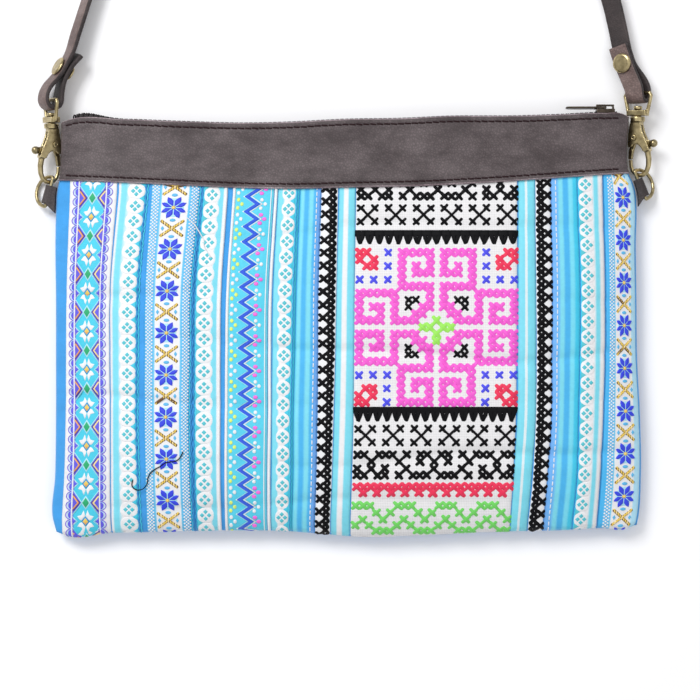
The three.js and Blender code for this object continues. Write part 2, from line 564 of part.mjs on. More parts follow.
// Fold at each end, from the main run to the tail's end: [up from the bar, out towards the grain side]
const FOLD = [
  [1.379, 0.587], [1.145, 0.587], [0.855, 0.587], [0.655, 0.826], [0.345, 1.435], [0.124, 1.674],
  [-0.041, 1.652], [-0.186, 1.196], [-0.266, 0], [-0.186, -1.196], [-0.041, -1.652], [0.124, -1.674],
  [0.345, -1.435], [0.655, -0.848], [0.855, -0.609], [1.145, -0.609], [1.559, -1.13],
];
// Where the folded end leads: [up from the bar, sideways and higher at the left end, then at the right]
const LEAD = [
  [-0.276, 0, -0.0406, 0, -0.0406], [0.034, 0, 0.0052, 0, 0.0052], [0.124, 0.0208, 0.0156, 0.0208, 0.0125],
  [0.345, 0.125, 0.0208, 0.1562, -0.0104], [0.655, 0.3542, 0.0104, 0.4062, -0.0625],
  [0.855, 0.5208, 0, 0.5521, -0.099], [1.145, 0.7604, -0.0208, 0.7083, -0.151],
  [1.379, 0.9583, -0.0469, 0.8021, -0.1927], [1.559, 1.1458, -0.0521, 0.8542, -0.2083],
];
// Middle of the folded end at a height above the bar, its direction, across it and out of its grain side.
function foldFrame(name, up) {
  const c = CLASPS[name];
  const bar = V(0, BAR_Y, 0).applyMatrix4(frames[name]);
  const k = c.side < 0 ? 1 : 3;
  const lead = (h, column) => STRAP_W * along(LEAD, h / RIVET_UP, column);
  const at = (h) => bar.clone().add(V(-c.side * lead(h, k), h, lead(h, k + 1)));
  const d = at(up + 1).sub(at(up - 1)).normalize();
  const wide = V(Math.sin(rad(Math.abs(c.grain))), 0, Math.cos(rad(c.grain)));
  wide.addScaledVector(d, -wide.dot(d)).normalize();
  const grain = wide.clone().cross(d).normalize();
  if (grain.x * c.side < 0) grain.negate();
  return { at: at(up), d, wide, grain };
}
function strapEnd(name) {
  return FOLD.map(([up, out]) => {
    const f = foldFrame(name, up * RIVET_UP);
    return { p: f.at.clone().addScaledVector(f.grain, out * STRAP_T), wide: f.wide };
  });
}
const leftEnd = strapEnd("left").reverse();
const rightEnd = strapEnd("right");
const run = RUN.map(([across, up, height, tilt]) => (
  { p: V(across * HALF_W, HALF_H + up * STRAP_REACH, height * STRAP_W), tilt }));
const pathPoints = [...leftEnd.map((e) => e.p), ...run.map((r) => r.p), ...rightEnd.map((e) => e.p)];
const strapRings = pathPoints.map((p, i) => {
  const a = pathPoints[Math.max(0, i - 1)];
  const b = pathPoints[Math.min(pathPoints.length - 1, i + 1)];
  const d = b.clone().sub(a).normalize();
  const fixed = i < leftEnd.length ? leftEnd[i] : i >= leftEnd.length + run.length
    ? rightEnd[i - leftEnd.length - run.length] : null;
  let wide;
  if (fixed) {
    wide = fixed.wide.clone().addScaledVector(d, -fixed.wide.dot(d)).normalize();
  } else {
    const r = run[i - leftEnd.length];
    const outward = Z.clone().cross(d).setZ(0).normalize();
    const grain = outward.multiplyScalar(Math.cos(rad(r.tilt))).addScaledVector(Z, Math.sin(rad(r.tilt)));
    wide = d.clone().cross(grain).normalize();
  }
  const thick = wide.clone().cross(d).normalize();
  return [[-1, -1], [1, -1], [1, 1], [-1, 1]].map(([s, t]) => p.clone()
    .addScaledVector(wide, (s * STRAP_W) / 2).addScaledVector(thick, (t * STRAP_T) / 2));
});
let strap = solidOf(loft(strapRings));
for (const name of ENDS) {
  const c = CLASPS[name];
  const f = foldFrame(name, RIVET_UP);
  const axis = new THREE.Matrix4().makeBasis(f.d, f.grain.clone().cross(f.d), f.grain).setPosition(...f.at);
  strap = cut(strap, rod(RIVET_SHANK + GAP, -8, 8).applyMatrix4(axis));
  const reach = STRAP_T + 0.8; // from the middle of the two layers to a cap
  const cap = (r) => join(rod(r, reach, reach + RIVET_T * 0.6, 18),
    rod(r, reach + RIVET_T * 0.6, reach + RIVET_T, 18, r * 0.8));
  const flipped = (shape) => geometryOf(shape).rotateX(Math.PI);
  const [front, back] = c.side < 0 ? [RIVET_R, RIVET_BACK_R] : [RIVET_BACK_R, RIVET_R];
  const rivet = join(rod(RIVET_SHANK, -reach - 0.1, reach + 0.1), cap(front), flipped(cap(back)));
  add(`strap_rivet_${name}`, geometryOf(rivet), COLOR.brass, placed(axis));
}
add("strap", geometryOf(strap), COLOR.strap);

export default group;
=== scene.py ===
"""Embroidered zip pouch with a leather band and a clip-on leather strap, lying flat on its back.

Shapes are worked out in millimetres and written to meshes in metres, in the frame of the CAD model.
"""

import math

import bpy
import numpy as np
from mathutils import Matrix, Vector


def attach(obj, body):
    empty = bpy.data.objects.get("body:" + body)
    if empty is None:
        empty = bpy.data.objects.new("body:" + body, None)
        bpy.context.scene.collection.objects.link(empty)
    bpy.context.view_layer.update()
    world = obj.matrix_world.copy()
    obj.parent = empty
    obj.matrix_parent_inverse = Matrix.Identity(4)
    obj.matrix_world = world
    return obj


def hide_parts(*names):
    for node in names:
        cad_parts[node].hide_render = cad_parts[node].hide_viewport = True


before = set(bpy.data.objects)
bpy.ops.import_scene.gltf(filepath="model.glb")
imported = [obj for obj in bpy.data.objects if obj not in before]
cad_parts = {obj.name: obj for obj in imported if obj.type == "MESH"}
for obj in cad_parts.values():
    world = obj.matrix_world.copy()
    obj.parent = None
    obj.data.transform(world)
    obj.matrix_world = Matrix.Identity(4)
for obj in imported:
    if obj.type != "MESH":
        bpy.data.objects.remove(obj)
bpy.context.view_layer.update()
MM = 0.001

# Sizes that repeat the CAD model's
HALF_W, HALF_H = 140.0, 100.0
WALL = 1.6
SEAM_GAP = 0.15
SEAM_Z = 6.5
PILLOW, PILLOW_RUN, PILLOW_RISE = 13.0, 70.0, 60.0
MOUTH_FROM, MOUTH_RISE = 105.0, 4.95
BACK_RUN, BACK_DROP, BACK_BAND_DROP = 18.0, 4.75, 2.75
BACK_BAND_Y, BACK_STEP = 67.0, 7.0
BAND_LIFT = 0.4
BOTTOM = np.array([
    (-1, -0.99), (-0.955, -1.014), (-0.819, -1), (-0.684, -0.995), (-0.548, -0.99), (-0.344, -0.986),
    (-0.209, -0.99), (-0.073, -1.005), (0.063, -1.019), (0.198, -1.014), (0.334, -1.005), (0.47, -0.995),
    (0.606, -0.99), (0.741, -0.986), (0.877, -0.976), (0.945, -0.981), (1, -0.957),
])
TOP = np.array([
    (-0.975, 0.967), (-0.948, 0.979), (-0.752, 0.976), (-0.548, 0.965), (-0.344, 0.958), (-0.209, 0.962),
    (-0.005, 0.976), (0.198, 0.981), (0.334, 0.99), (0.606, 0.993), (0.741, 1), (0.877, 1.009),
    (0.945, 1.007), (0.965, 0.995),
])
BAND_EDGE = np.array([
    (-0.979, 0.689), (-0.768, 0.674), (-0.531, 0.658), (-0.341, 0.646), (-0.158, 0.643), (0.012, 0.649),
    (0.249, 0.656), (0.453, 0.67), (0.724, 0.696), (0.952, 0.722),
])
# up, left side, right side
SIDES = np.array([
    (-0.995, -0.994, 0.989), (-0.933, -1.006, 0.999), (-0.724, -0.999, 1.009), (-0.439, -0.996, 1.006),
    (-0.154, -0.996, 0.996), (0.121, -0.996, 0.994), (0.401, -0.998, 0.992), (0.568, -0.995, 0.994),
    (0.639, -0.992, 0.99), (0.682, -0.986, 0.981), (0.724, -0.98, 0.967), (0.829, -0.976, 0.958),
    (0.971, -0.975, 0.965),
])


def smooth(key, xs, ys):
    """A smooth line through the points of a table, flat past its ends."""
    xs, ys = np.asarray(xs, float), np.asarray(ys, float)
    slope = np.gradient(ys, xs)
    key = np.clip(np.asarray(key, float), xs[0], xs[-1])
    i = np.clip(np.searchsorted(xs, key) - 1, 0, len(xs) - 2)
    h = xs[i + 1] - xs[i]
    t = (key - xs[i]) / h
    a, b = ys[i], ys[i + 1]
    m, n = slope[i] * h, slope[i + 1] * h
    return a + t * (m + t * (3 * (b - a) - 2 * m - n + t * (2 * (a - b) + m + n)))


def bottom_y(x):
    return HALF_H * smooth(x / HALF_W, BOTTOM[:, 0], BOTTOM[:, 1])


def top_y(x):
    return HALF_H * smooth(x / HALF_W, TOP[:, 0], TOP[:, 1])


def band_y(x):
    return HALF_H * smooth(x / HALF_W, BAND_EDGE[:, 0], BAND_EDGE[:, 1])


def left_x(y):
    return HALF_W * smooth(y / HALF_H, SIDES[:, 0], SIDES[:, 1])


def right_x(y):
    return HALF_W * smooth(y / HALF_H, SIDES[:, 0], SIDES[:, 2])


def unit(t):
    return np.clip(t, 0.0, 1.0)


def swell(d, run):
    return (1 - (1 - unit(d / run)) ** 2.5) ** 0.75


def rounded(d, run):
    return 1 - (1 - unit(d / run)) ** 2


def arched(d, run):
    """A quarter circle: 0 at a rim, 1 from this far inside it."""
    return np.sqrt(1 - (1 - unit(d / run)) ** 2)


def eased(t):
    return t * t * (3 - 2 * t)


def inset(x, y):
    return np.minimum(x - left_x(y), right_x(y) - x)


def front_inner(x, y):
    """Height of the inside of the front wall."""
    up = y - bottom_y(x)
    q = eased(unit((up - MOUTH_FROM) / (top_y(x) - bottom_y(x) - MOUTH_FROM)))
    body = PILLOW * swell(inset(x, y), PILLOW_RUN) * swell(up, PILLOW_RISE)
    share = (x - left_x(y)) / (right_x(y) - left_x(y))
    mouth = 1 - unit(np.abs(2 * share - 1)) ** 10
    return SEAM_Z + SEAM_GAP + (1 - q) * body + q * MOUTH_RISE * mouth


def back_inner(x, y):
    """Height of the inside of the back wall."""
    t = unit((y - BACK_BAND_Y + BACK_STEP) / (BACK_STEP - 0.5))
    drop = BACK_DROP + (BACK_BAND_DROP - BACK_DROP) * t
    return SEAM_Z - SEAM_GAP - drop * rounded(inset(x, y), BACK_RUN) * rounded(y - bottom_y(x), BACK_RUN)


# Soft creases across the front: middle, drift along x, width, depth, phase
CREASES = [
    (42.5, 4.0, 4.0, 0.85, 0.4), (14.0, 3.0, 3.6, 0.9, 1.9), (-13.3, 4.0, 3.6, 1.05, 3.1),
    (-38.2, 3.0, 3.4, 0.9, 4.4), (-64.4, 3.5, 3.6, 0.95, 5.6), (-86.0, 2.5, 3.0, 0.6, 0.9),
]
# Beside each crease a sharper one: shares of the depth and the width, and how far off as a share of the width
SHARP_DEPTH, SHARP_WIDTH, SHARP_OFF = 0.55, 0.5, 0.3
EDGE_ROUND = 1.4  # the rim of the cloth is rounded over this width
RIM_SHARE = 0.15  # what is left of a wall's thickness at its very rim


def wrinkle(x, y):
    """Creases and puckers of the front, nothing at its rim."""
    z = np.zeros(np.broadcast(x, y).shape)
    for middle, drift, width, depth, phase in CREASES:
        line = middle + drift * np.sin(x / 47 + phase) + 0.4 * drift * np.sin(x / 17 + 2 * phase)
        share = 0.55 + 0.45 * np.sin(x / 61 + 2.3 * phase)
        z -= depth * share * np.exp(-(((y - line) / width) ** 2))
        sharp = (y - line - SHARP_OFF * width) / (SHARP_WIDTH * width)
        z -= SHARP_DEPTH * depth * share * np.exp(-(sharp**2))
    z += 0.26 * np.sin(x / 13.0 + 0.6 * np.sin(y / 19)) * np.sin(y / 12.0 + 1.2)
    z += 0.1 * np.sin(y / 3.1 + 1.7 * np.sin(x / 9.0)) * np.sin(x / 23.0 + 0.7)
    rim = unit(inset(x, y) / 14) * unit((y - bottom_y(x)) / 14) * unit((band_y(x) - y) / 8)
    return z * rim


def wall_depth(x, y):
    """Thickness of a cloth wall, less at its rounded rim."""
    edge = arched(np.minimum(inset(x, y), y - bottom_y(x)), EDGE_ROUND)
    return WALL * (RIM_SHARE + (1 - RIM_SHARE) * edge)


def front_outer(x, y):
    """Height of the outside of the front wall."""
    return front_inner(x, y) + wall_depth(x, y) + wrinkle(x, y)


def lift(height, x, y, h):
    """Points a distance h off a surface that is given by its height."""
    e = 0.05
    gx = (height(x + e, y) - height(x - e, y)) / (2 * e)
    gy = (height(x, y + e) - height(x, y - e)) / (2 * e)
    n = np.sqrt(1 + np.minimum(gx * gx + gy * gy, 4.0))
    gx, gy = np.clip(gx, -1.4, 1.4), np.clip(gy, -1.4, 1.4)
    return np.stack([x - gx * h / n, y - gy * h / n, height(x, y) + h / n], -1)


# Meshes
def mesh_piece(name, points, faces, materials, body="root", index=None, uv=None):
    """A piece from points in millimetres; index gives each face's material, uv each point's."""
    mesh = bpy.data.meshes.new(name)
    points = np.asarray(points, float).reshape(-1, 3) * MM
    mesh.from_pydata(points.tolist(), [], [list(map(int, f)) for f in faces])
    for m in materials if isinstance(materials, (list, tuple)) else [materials]:
        mesh.materials.append(m)
    if index is not None:
        mesh.polygons.foreach_set("material_index", np.asarray(index, np.int32))
    mesh.polygons.foreach_set("use_smooth", np.full(len(mesh.polygons), True))
    if uv is not None:
        corner = np.zeros(len(mesh.loops), np.int32)
        mesh.loops.foreach_get("vertex_index", corner)
        layer = mesh.uv_layers.new(name="UVMap")
        layer.data.foreach_set("uv", np.asarray(uv, float)[corner].ravel())
    mesh.validate()
    mesh.update()
    obj = bpy.data.objects.new(name, mesh)
    bpy.context.scene.collection.objects.link(obj)
    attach(obj, body)
    return obj


def grid_faces(ids):
    return np.stack([ids[:-1, :-1], ids[1:, :-1], ids[1:, 1:], ids[:-1, 1:]], -1).reshape(-1, 4)


def shell(low, high):
    """Points and faces of two grids, one over the other, closed round the rim."""
    ni, nj = low.shape[:2]
    points = np.concatenate([low.reshape(-1, 3), high.reshape(-1, 3)])
    ids = np.arange(ni * nj).reshape(ni, nj)
    top = grid_faces(ids)
    ring = np.concatenate([ids[:-1, 0], ids[-1, :-1], ids[:0:-1, -1], ids[0, :0:-1]])
    after = np.roll(ring, -1)
    n = ni * nj
    rim = np.stack([ring, after, after + n, ring + n], -1)
    return points, np.concatenate([top[:, ::-1], top + n, rim])


def grid_uv(low):
    flat = low.reshape(-1, 3)[:, :2]
    return np.concatenate([flat, flat])


# Materials
def linear(rgb):
    """Linear colour from sRGB values of 0 to 255."""
    c = np.asarray(rgb, float) / 255
    return (*np.where(c <= 0.04045, c / 12.92, ((c + 0.055) / 1.055) ** 2.4).tolist(), 1.0)


class Nodes:
    """Short calls for the node tree of one material."""

    def __init__(self, name, **shader):
        self.material = bpy.data.materials.new(name)
        self.material.use_nodes = True
        self.tree = self.material.node_tree
        self.shader = next(n for n in self.tree.nodes if n.type == "BSDF_PRINCIPLED")
        for key, value in shader.items():
            self.shader.inputs[key.replace("_", " ")].default_value = value

    def node(self, kind, values=None, **settings):
        n = self.tree.nodes.new(kind)
        for key, value in settings.items():
            setattr(n, key, value)
        for key, value in (values or {}).items():
            if isinstance(value, bpy.types.NodeSocket):
                self.tree.links.new(value, n.inputs[key])
            else:
                n.inputs[key].default_value = value
        return n

    def math(self, operation, a, b=0.0, clamp=False):
        return self.node("ShaderNodeMath", {0: a, 1: b}, operation=operation, use_clamp=clamp).outputs[0]

    def noise(self, vector, scale, detail=3.0, rough=0.55):
        values = {"Vector": vector, "Scale": scale, "Detail": detail, "Roughness": rough}
        return self.node("ShaderNodeTexNoise", values).outputs["Fac"]

    def ramp(self, fac, stops):
        n = self.node("ShaderNodeValToRGB", {"Fac": fac})
        e = n.color_ramp.elements
        while len(e) < len(stops):
            e.new(0.5)
        for item, (at, colour) in zip(e, stops):
            item.position, item.color = at, colour
        return n.outputs["Color"]

    def mix(self, fac, a, b, blend="MIX"):
        n = self.node("ShaderNodeMix", {0: fac}, data_type="RGBA", blend_type=blend)
        for key, value in ((6, a), (7, b)):
            if isinstance(value, bpy.types.NodeSocket):
                self.tree.links.new(value, n.inputs[key])
            else:
                n.inputs[key].default_value = value
        return n.outputs[2]

    def vary(self, colour, fac, low, high):
        """The colour made darker or lighter by a pattern of 0 to 1."""
        grey = self.ramp(fac, [(0.0, (low, low, low, 1)), (1.0, (high, high, high, 1))])
        return self.mix(1.0, colour, grey, "MULTIPLY")

    def between(self, fac, low, high):
        """0 up to the low value of a pattern, 1 from the high one."""
        return self.ramp(fac, [(low, (0, 0, 0, 1)), (high, (1, 1, 1, 1))])

    def uv(self):
        return self.node("ShaderNodeUVMap", uv_map="UVMap").outputs[0]

    def place(self):
        return self.node("ShaderNodeTexCoord").outputs["Object"]

    def mm(self):
        """The place on the object in millimetres."""
        return self.scaled(self.place(), (1 / MM,) * 3)

    def scaled(self, vector, scale):
        return self.node("ShaderNodeMapping", {"Vector": vector, "Scale": scale}).outputs[0]

    def wave(self, vector, scale, direction="X", distortion=0.0):
        values = {"Vector": vector, "Scale": scale, "Distortion": distortion, "Detail": 1.0}
        n = self.node("ShaderNodeTexWave", values, bands_direction=direction, wave_profile="SIN")
        return n.outputs["Fac"]

    def colour(self, socket):
        self.tree.links.new(socket, self.shader.inputs["Base Color"])

    def rough(self, fac, low, high):
        values = {"Value": fac, "To Min": low, "To Max": high}
        n = self.node("ShaderNodeMapRange", values)
        self.tree.links.new(n.outputs[0], self.shader.inputs["Roughness"])

    def bump(self, *layers):
        """Bumps in turn, each a pattern and its height in millimetres."""
        normal = None
        for fac, height in layers:
            values = {"Height": fac, "Strength": 1.0, "Distance": height * MM}
            if normal is not None:
                values["Normal"] = normal
            normal = self.node("ShaderNodeBump", values).outputs[0]
        self.tree.links.new(normal, self.shader.inputs["Normal"])


WAVE_TURN = 0.314159  # a wave texture of scale 1 repeats after this length


def weave_pattern(n, vector, pitch):
    """Plain weave of a pitch, in the units of the vector."""
    over = n.wave(vector, WAVE_TURN / pitch, "X", 0.4)
    under = n.wave(vector, WAVE_TURN / pitch, "Y", 0.4)
    return n.math("MULTIPLY", over, under)


def cotton(name, colour):
    n = Nodes(name, Roughness=0.85, Sheen_Weight=0.25, Sheen_Roughness=0.4)
    uv = n.uv()
    weave = weave_pattern(n, uv, 0.45)
    cloud = n.noise(uv, 0.09, 4.0)
    shade = n.vary(linear(colour), weave, 0.82, 1.06)
    n.colour(n.vary(shade, cloud, 0.82, 1.15))
    n.bump((weave, 0.06), (n.noise(uv, 0.35, 3.0), 0.35))
    return n.material


THREADS = {}


def thread(name, colour, pitch=0.42, sheen=0.35, shine=0.5):
    """Satin thread that runs along v: fine ridges across u, a soft gloss."""
    if name not in THREADS:
        n = Nodes("thread_" + name, Sheen_Weight=sheen, Sheen_Roughness=0.35, Specular_IOR_Level=shine)
        uv = n.uv()
        ridge = n.wave(uv, WAVE_TURN / pitch, "X", 0.7)
        fray = n.noise(n.scaled(uv, (2.2, 0.5, 1.0)), 1.0, 3.0)
        shade = n.vary(linear(colour), ridge, 0.8, 1.1)
        n.colour(n.vary(shade, fray, 0.86, 1.12))
        n.rough(fray, 0.42, 0.62)
        n.bump((ridge, 0.05))
        THREADS[name] = n.material
    return THREADS[name]


def ribbon_ground(name, stops, pitch=(0.62, 0.5), dark=0.87):
    """Woven ground of a ribbon: u runs across it and v up it, both in millimetres.

    stops: millimetres across the ribbon and colour; pitch: that of the warp and of the weft.
    """
    n = Nodes(name, Roughness=0.62, Sheen_Weight=0.3, Sheen_Roughness=0.35)
    uv = n.uv()
    split = n.node("ShaderNodeSeparateXYZ", {0: uv})
    jitter = n.math("MULTIPLY", n.math("SUBTRACT", n.noise(n.scaled(uv, (0.4, 3.0, 1)), 1.0), 0.5), 0.6)
    width = stops[-1][0]
    share = n.math("DIVIDE", n.math("ADD", split.outputs[0], jitter), width)
    base = n.ramp(share, [(at / width, linear(c)) for at, c in stops])
    weft = n.wave(uv, WAVE_TURN / pitch[1], "Y", 0.5)
    warp = n.wave(uv, WAVE_TURN / pitch[0], "X", 0.5)
    weave = n.math("ADD", n.math("MULTIPLY", weft, 0.6), n.math("MULTIPLY", warp, 0.4))
    n.colour(n.vary(n.vary(base, weave, dark, 1.05), n.noise(uv, 0.5, 3.0), 0.9, 1.07))
    n.bump((weave, 0.07))
    return n.material


def leather(name, colour, light, coat=0.12, grain=1.0):
    """Full-grain leather: pebbled creases with painted shade in them, so what stands out looks lighter;
    cloudy colour.
    """
    n = Nodes(name, Roughness=0.6, Coat_Weight=coat, Coat_Roughness=0.4, Specular_IOR_Level=0.45)
    mm = n.mm()
    values = {"Vector": mm, "Scale": 0.8 / grain, "Randomness": 1.0}
    cell = n.node("ShaderNodeTexVoronoi", values, feature="DISTANCE_TO_EDGE").outputs["Distance"]
    crease = n.math("MULTIPLY", cell, 4.0, clamp=True)
    cloud = n.noise(n.scaled(mm, (0.8, 1.4, 1.0)), 0.06, 6.0, 0.68)
    fine = n.noise(mm, 1.0, 4.0, 0.65)
    base = n.mix(n.between(cloud, 0.36, 0.64), linear(colour), linear(light))
    # painted shade: the colour is darker along the grain's creases and a little lighter on the pebbles
    # between them
    shade = n.vary(base, crease, 0.66, 1.05)
    n.colour(n.vary(shade, fine, 0.58, 1.38))
    n.rough(fine, 0.48, 0.75)
    n.bump((n.noise(mm, 0.22, 3.0), 0.3), (crease, 0.09), (fine, 0.12))
    return n.material


def antique_brass(name, colour=(206, 190, 146), dark=(104, 88, 58)):
    """Cast brass: rubbed bright where it stands out, brown in the hollows, small dents."""
    n = Nodes(name, Metallic=1.0, Roughness=0.3)
    mm = n.mm()
    cloud = n.noise(mm, 0.35, 4.0)
    point = n.node("ShaderNodeNewGeometry").outputs["Pointiness"]
    worn = n.between(point, 0.44, 0.53)
    patina = n.between(cloud, 0.35, 0.7)
    n.colour(n.mix(n.math("MULTIPLY", n.math("ADD", worn, patina), 0.5), linear(dark), linear(colour)))
    n.rough(cloud, 0.2, 0.42)
    n.bump((n.noise(mm, 0.9, 3.0), 0.05), (n.noise(mm, 4.0, 2.0), 0.012))
    return n.material


def nylon(name, colour):
    n = Nodes(name, Roughness=0.42, Specular_IOR_Level=0.3)
    mm = n.mm()
    n.colour(n.vary(linear(colour), n.noise(mm, 0.8, 3.0), 0.7, 1.35))
    n.bump((n.noise(mm, 5.0, 2.0), 0.02))
    return n.material


def tape_weave(name, colour):
    """Herringbone tape."""
    n = Nodes(name, Roughness=0.8, Sheen_Weight=0.3, Sheen_Roughness=0.4)
    mm = n.mm()
    weave = weave_pattern(n, mm, 0.5)
    n.colour(n.vary(linear(colour), weave, 0.7, 1.2))
    n.bump((weave, 0.08))
    return n.material


BLUE = cotton("blue_cotton", (66, 164, 238))
BAND_LEATHER = leather("band_leather", (66, 55, 57), (100, 89, 91))
TAB_LEATHER = leather("tab_leather", (52, 44, 44), (74, 66, 66), coat=0.05)
CUT_LEATHER = leather("cut_leather", (132, 114, 120), (186, 170, 176), coat=0.0)
STRAP_GRAIN = leather("strap_grain", (88, 66, 62), (128, 108, 104), coat=0.25)
STRAP_FLESH = leather("strap_flesh", (40, 32, 33), (62, 52, 52), coat=0.05, grain=0.7)
LEATHER_EDGE = leather("leather_edge", (34, 27, 28), (76, 66, 66), coat=0.0, grain=0.6)
BRASS = antique_brass("antique_brass")
DARK_BRASS = antique_brass("dark_brass", (176, 162, 124), (84, 72, 50))
GUNMETAL = antique_brass("gunmetal", (96, 86, 76), (44, 38, 34))
BAND_THREAD = thread("band", (40, 20, 24), 0.3, 0.0, 0.2)
NYLON = nylon("zip_nylon", (36, 30, 32))
ZIP_TAPE = tape_weave("zip_tape", (66, 56, 58))


# Walls of the pouch
def cells(lows, highs, ni, nj, ease=0.0):
    """x and y of a grid between the sides and between two curves of x; ease packs it to its rim."""
    u = np.linspace(0, 1, ni)
    v = np.linspace(0, 1, nj)
    u, v = (w - ease * np.sin(2 * math.pi * w) / (2 * math.pi) for w in (u, v))
    x = np.repeat((u * 2 - 1)[:, None] * HALF_W, nj, 1)
    for _ in range(4):
        lo, hi = lows(x), highs(x)
        y = lo + (hi - lo) * v[None, :]
        x = left_x(y) + (right_x(y) - left_x(y)) * u[:, None]
    return x, y


def stack(x, y, z):
    return np.stack([x, y, z], -1)


# Points along and up, and how far they crowd to the rim
FRONT_GRID, BACK_GRID = (150, 110, 0.6), (120, 90, 0.7)
BINDING_FROM = 3.0  # dark binding at the mouth, from this far over the leather band's edge


def make_wall(name, node, low, high, band_line):
    """A cloth wall, dark above a line that the band covers."""
    points, faces = shell(low, high)
    middle = points[faces].mean(1)
    bound = middle[:, 1] > band_line(middle[:, 0]) + BINDING_FROM
    piece = mesh_piece(name, points, faces, [BLUE, ZIP_TAPE], index=bound, uv=grid_uv(low))
    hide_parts(node)


def back_band_y(x):
    return np.full_like(x, BACK_BAND_Y)


def make_front():
    x, y = cells(bottom_y, top_y, *FRONT_GRID)
    low, high = stack(x, y, front_inner(x, y)), stack(x, y, front_outer(x, y))
    make_wall("front_cloth", "front_panel", low, high, band_y)


def back_outer(x, y):
    return back_inner(x, y) - wall_depth(x, y)


def make_back():
    x, y = cells(bottom_y, top_y, *BACK_GRID)
    dent = 0.25 * np.sin(x / 21 + np.sin(y / 17)) * np.sin(y / 23) * unit(inset(x, y) / 20)
    dent = np.maximum(dent, 0) * unit((y - bottom_y(x)) / 20) * unit((BACK_BAND_Y - 8 - y) / 10)
    low, high = stack(x, y, back_outer(x, y) + dent), stack(x, y, back_inner(x, y))
    make_wall("back_cloth", "back_panel", low, high, back_band_y)


make_front()
make_back()

# Ribbons: x of both edges at six heights
LEVELS = np.array([-93.3, -72.4, -43.9, -15.4, 12.1, 62.5])
RIBBONS = {
    "diamond": ((-136.1, -134.7, -133.9, -133.7, -133.5, -132.0),
                (-112.5, -112.1, -111.9, -112.1, -112.1, -109.0)),
    "clover_1": ((-112.0, -111.6, -111.4, -111.6, -111.7, -108.1),
                 (-98.6, -98.6, -99.0, -98.8, -98.6, -94.8)),
    "flower_1": ((-95.2, -95.2, -95.4, -95.3, -95.2, -92.6), (-74.1, -74.3, -74.6, -74.1, -73.9, -69.8)),
    "clover_2": ((-71.8, -72.0, -72.1, -72.0, -71.7, -68.2), (-59.6, -59.6, -59.4, -59.4, -59.1, -56.3)),
    "zigzag": ((-56.5, -56.3, -56.0, -55.8, -55.4, -52.5), (-38.0, -37.8, -37.3, -37.3, -37.0, -34.4)),
    "clover_3": ((-35.9, -35.4, -35.1, -34.9, -34.6, -32.3), (-26.1, -25.4, -25.2, -24.5, -24.0, -22.3)),
    "ombre_1": ((-25.9, -25.1, -24.9, -24.2, -23.6, -21.8), (-15.4, -14.5, -14.0, -13.5, -13.5, -12.1)),
    "chain_1": ((-15.0, -14.2, -13.6, -13.3, -13.2, -11.8), (-7.8, -6.9, -6.1, -5.3, -4.8, -4.0)),
    "stripe_1": ((-7.4, -6.6, -5.7, -5.0, -4.6, -3.4), (1.5, 2.1, 3.1, 3.4, 3.6, 4.2)),
    "cross_stitch": ((1.9, 2.6, 3.3, 3.6, 3.8, 4.6), (77.9, 78.7, 79.8, 80.1, 80.4, 81.0)),
    "stripe_2": ((78.3, 79.1, 80.5, 80.9, 81.0, 81.6), (86.2, 87.4, 89.1, 89.3, 89.2, 89.3)),
    "chain_2": ((86.7, 88.1, 89.3, 89.7, 89.5, 89.6), (93.7, 94.8, 96.5, 96.7, 96.9, 96.7)),
    "ombre_2": ((94.1, 95.2, 96.9, 97.1, 97.3, 97.1), (107.6, 109.0, 109.5, 110.2, 110.4, 109.5)),
    "clover_4": ((108.1, 109.4, 110.0, 110.5, 110.8, 109.8), (119.5, 120.4, 121.6, 122.5, 122.6, 121.8)),
    "flower_2": ((119.8, 120.9, 121.9, 122.9, 123.0, 122.3), (140.2, 141.8, 140.8, 139.7, 139.9, 139.9)),
}
SIDE_STEP = 1.2  # the last ribbon stays this far inside the side seam
RIBBON_LOW, RIBBON_PUFF = 0.25, 0.75  # a ribbon's top above the cloth at its edges, and what its middle adds
UNDER_BAND = 0.3  # what is left of it where the band holds it down
RIBBON_ROWS = 122  # points up a ribbon


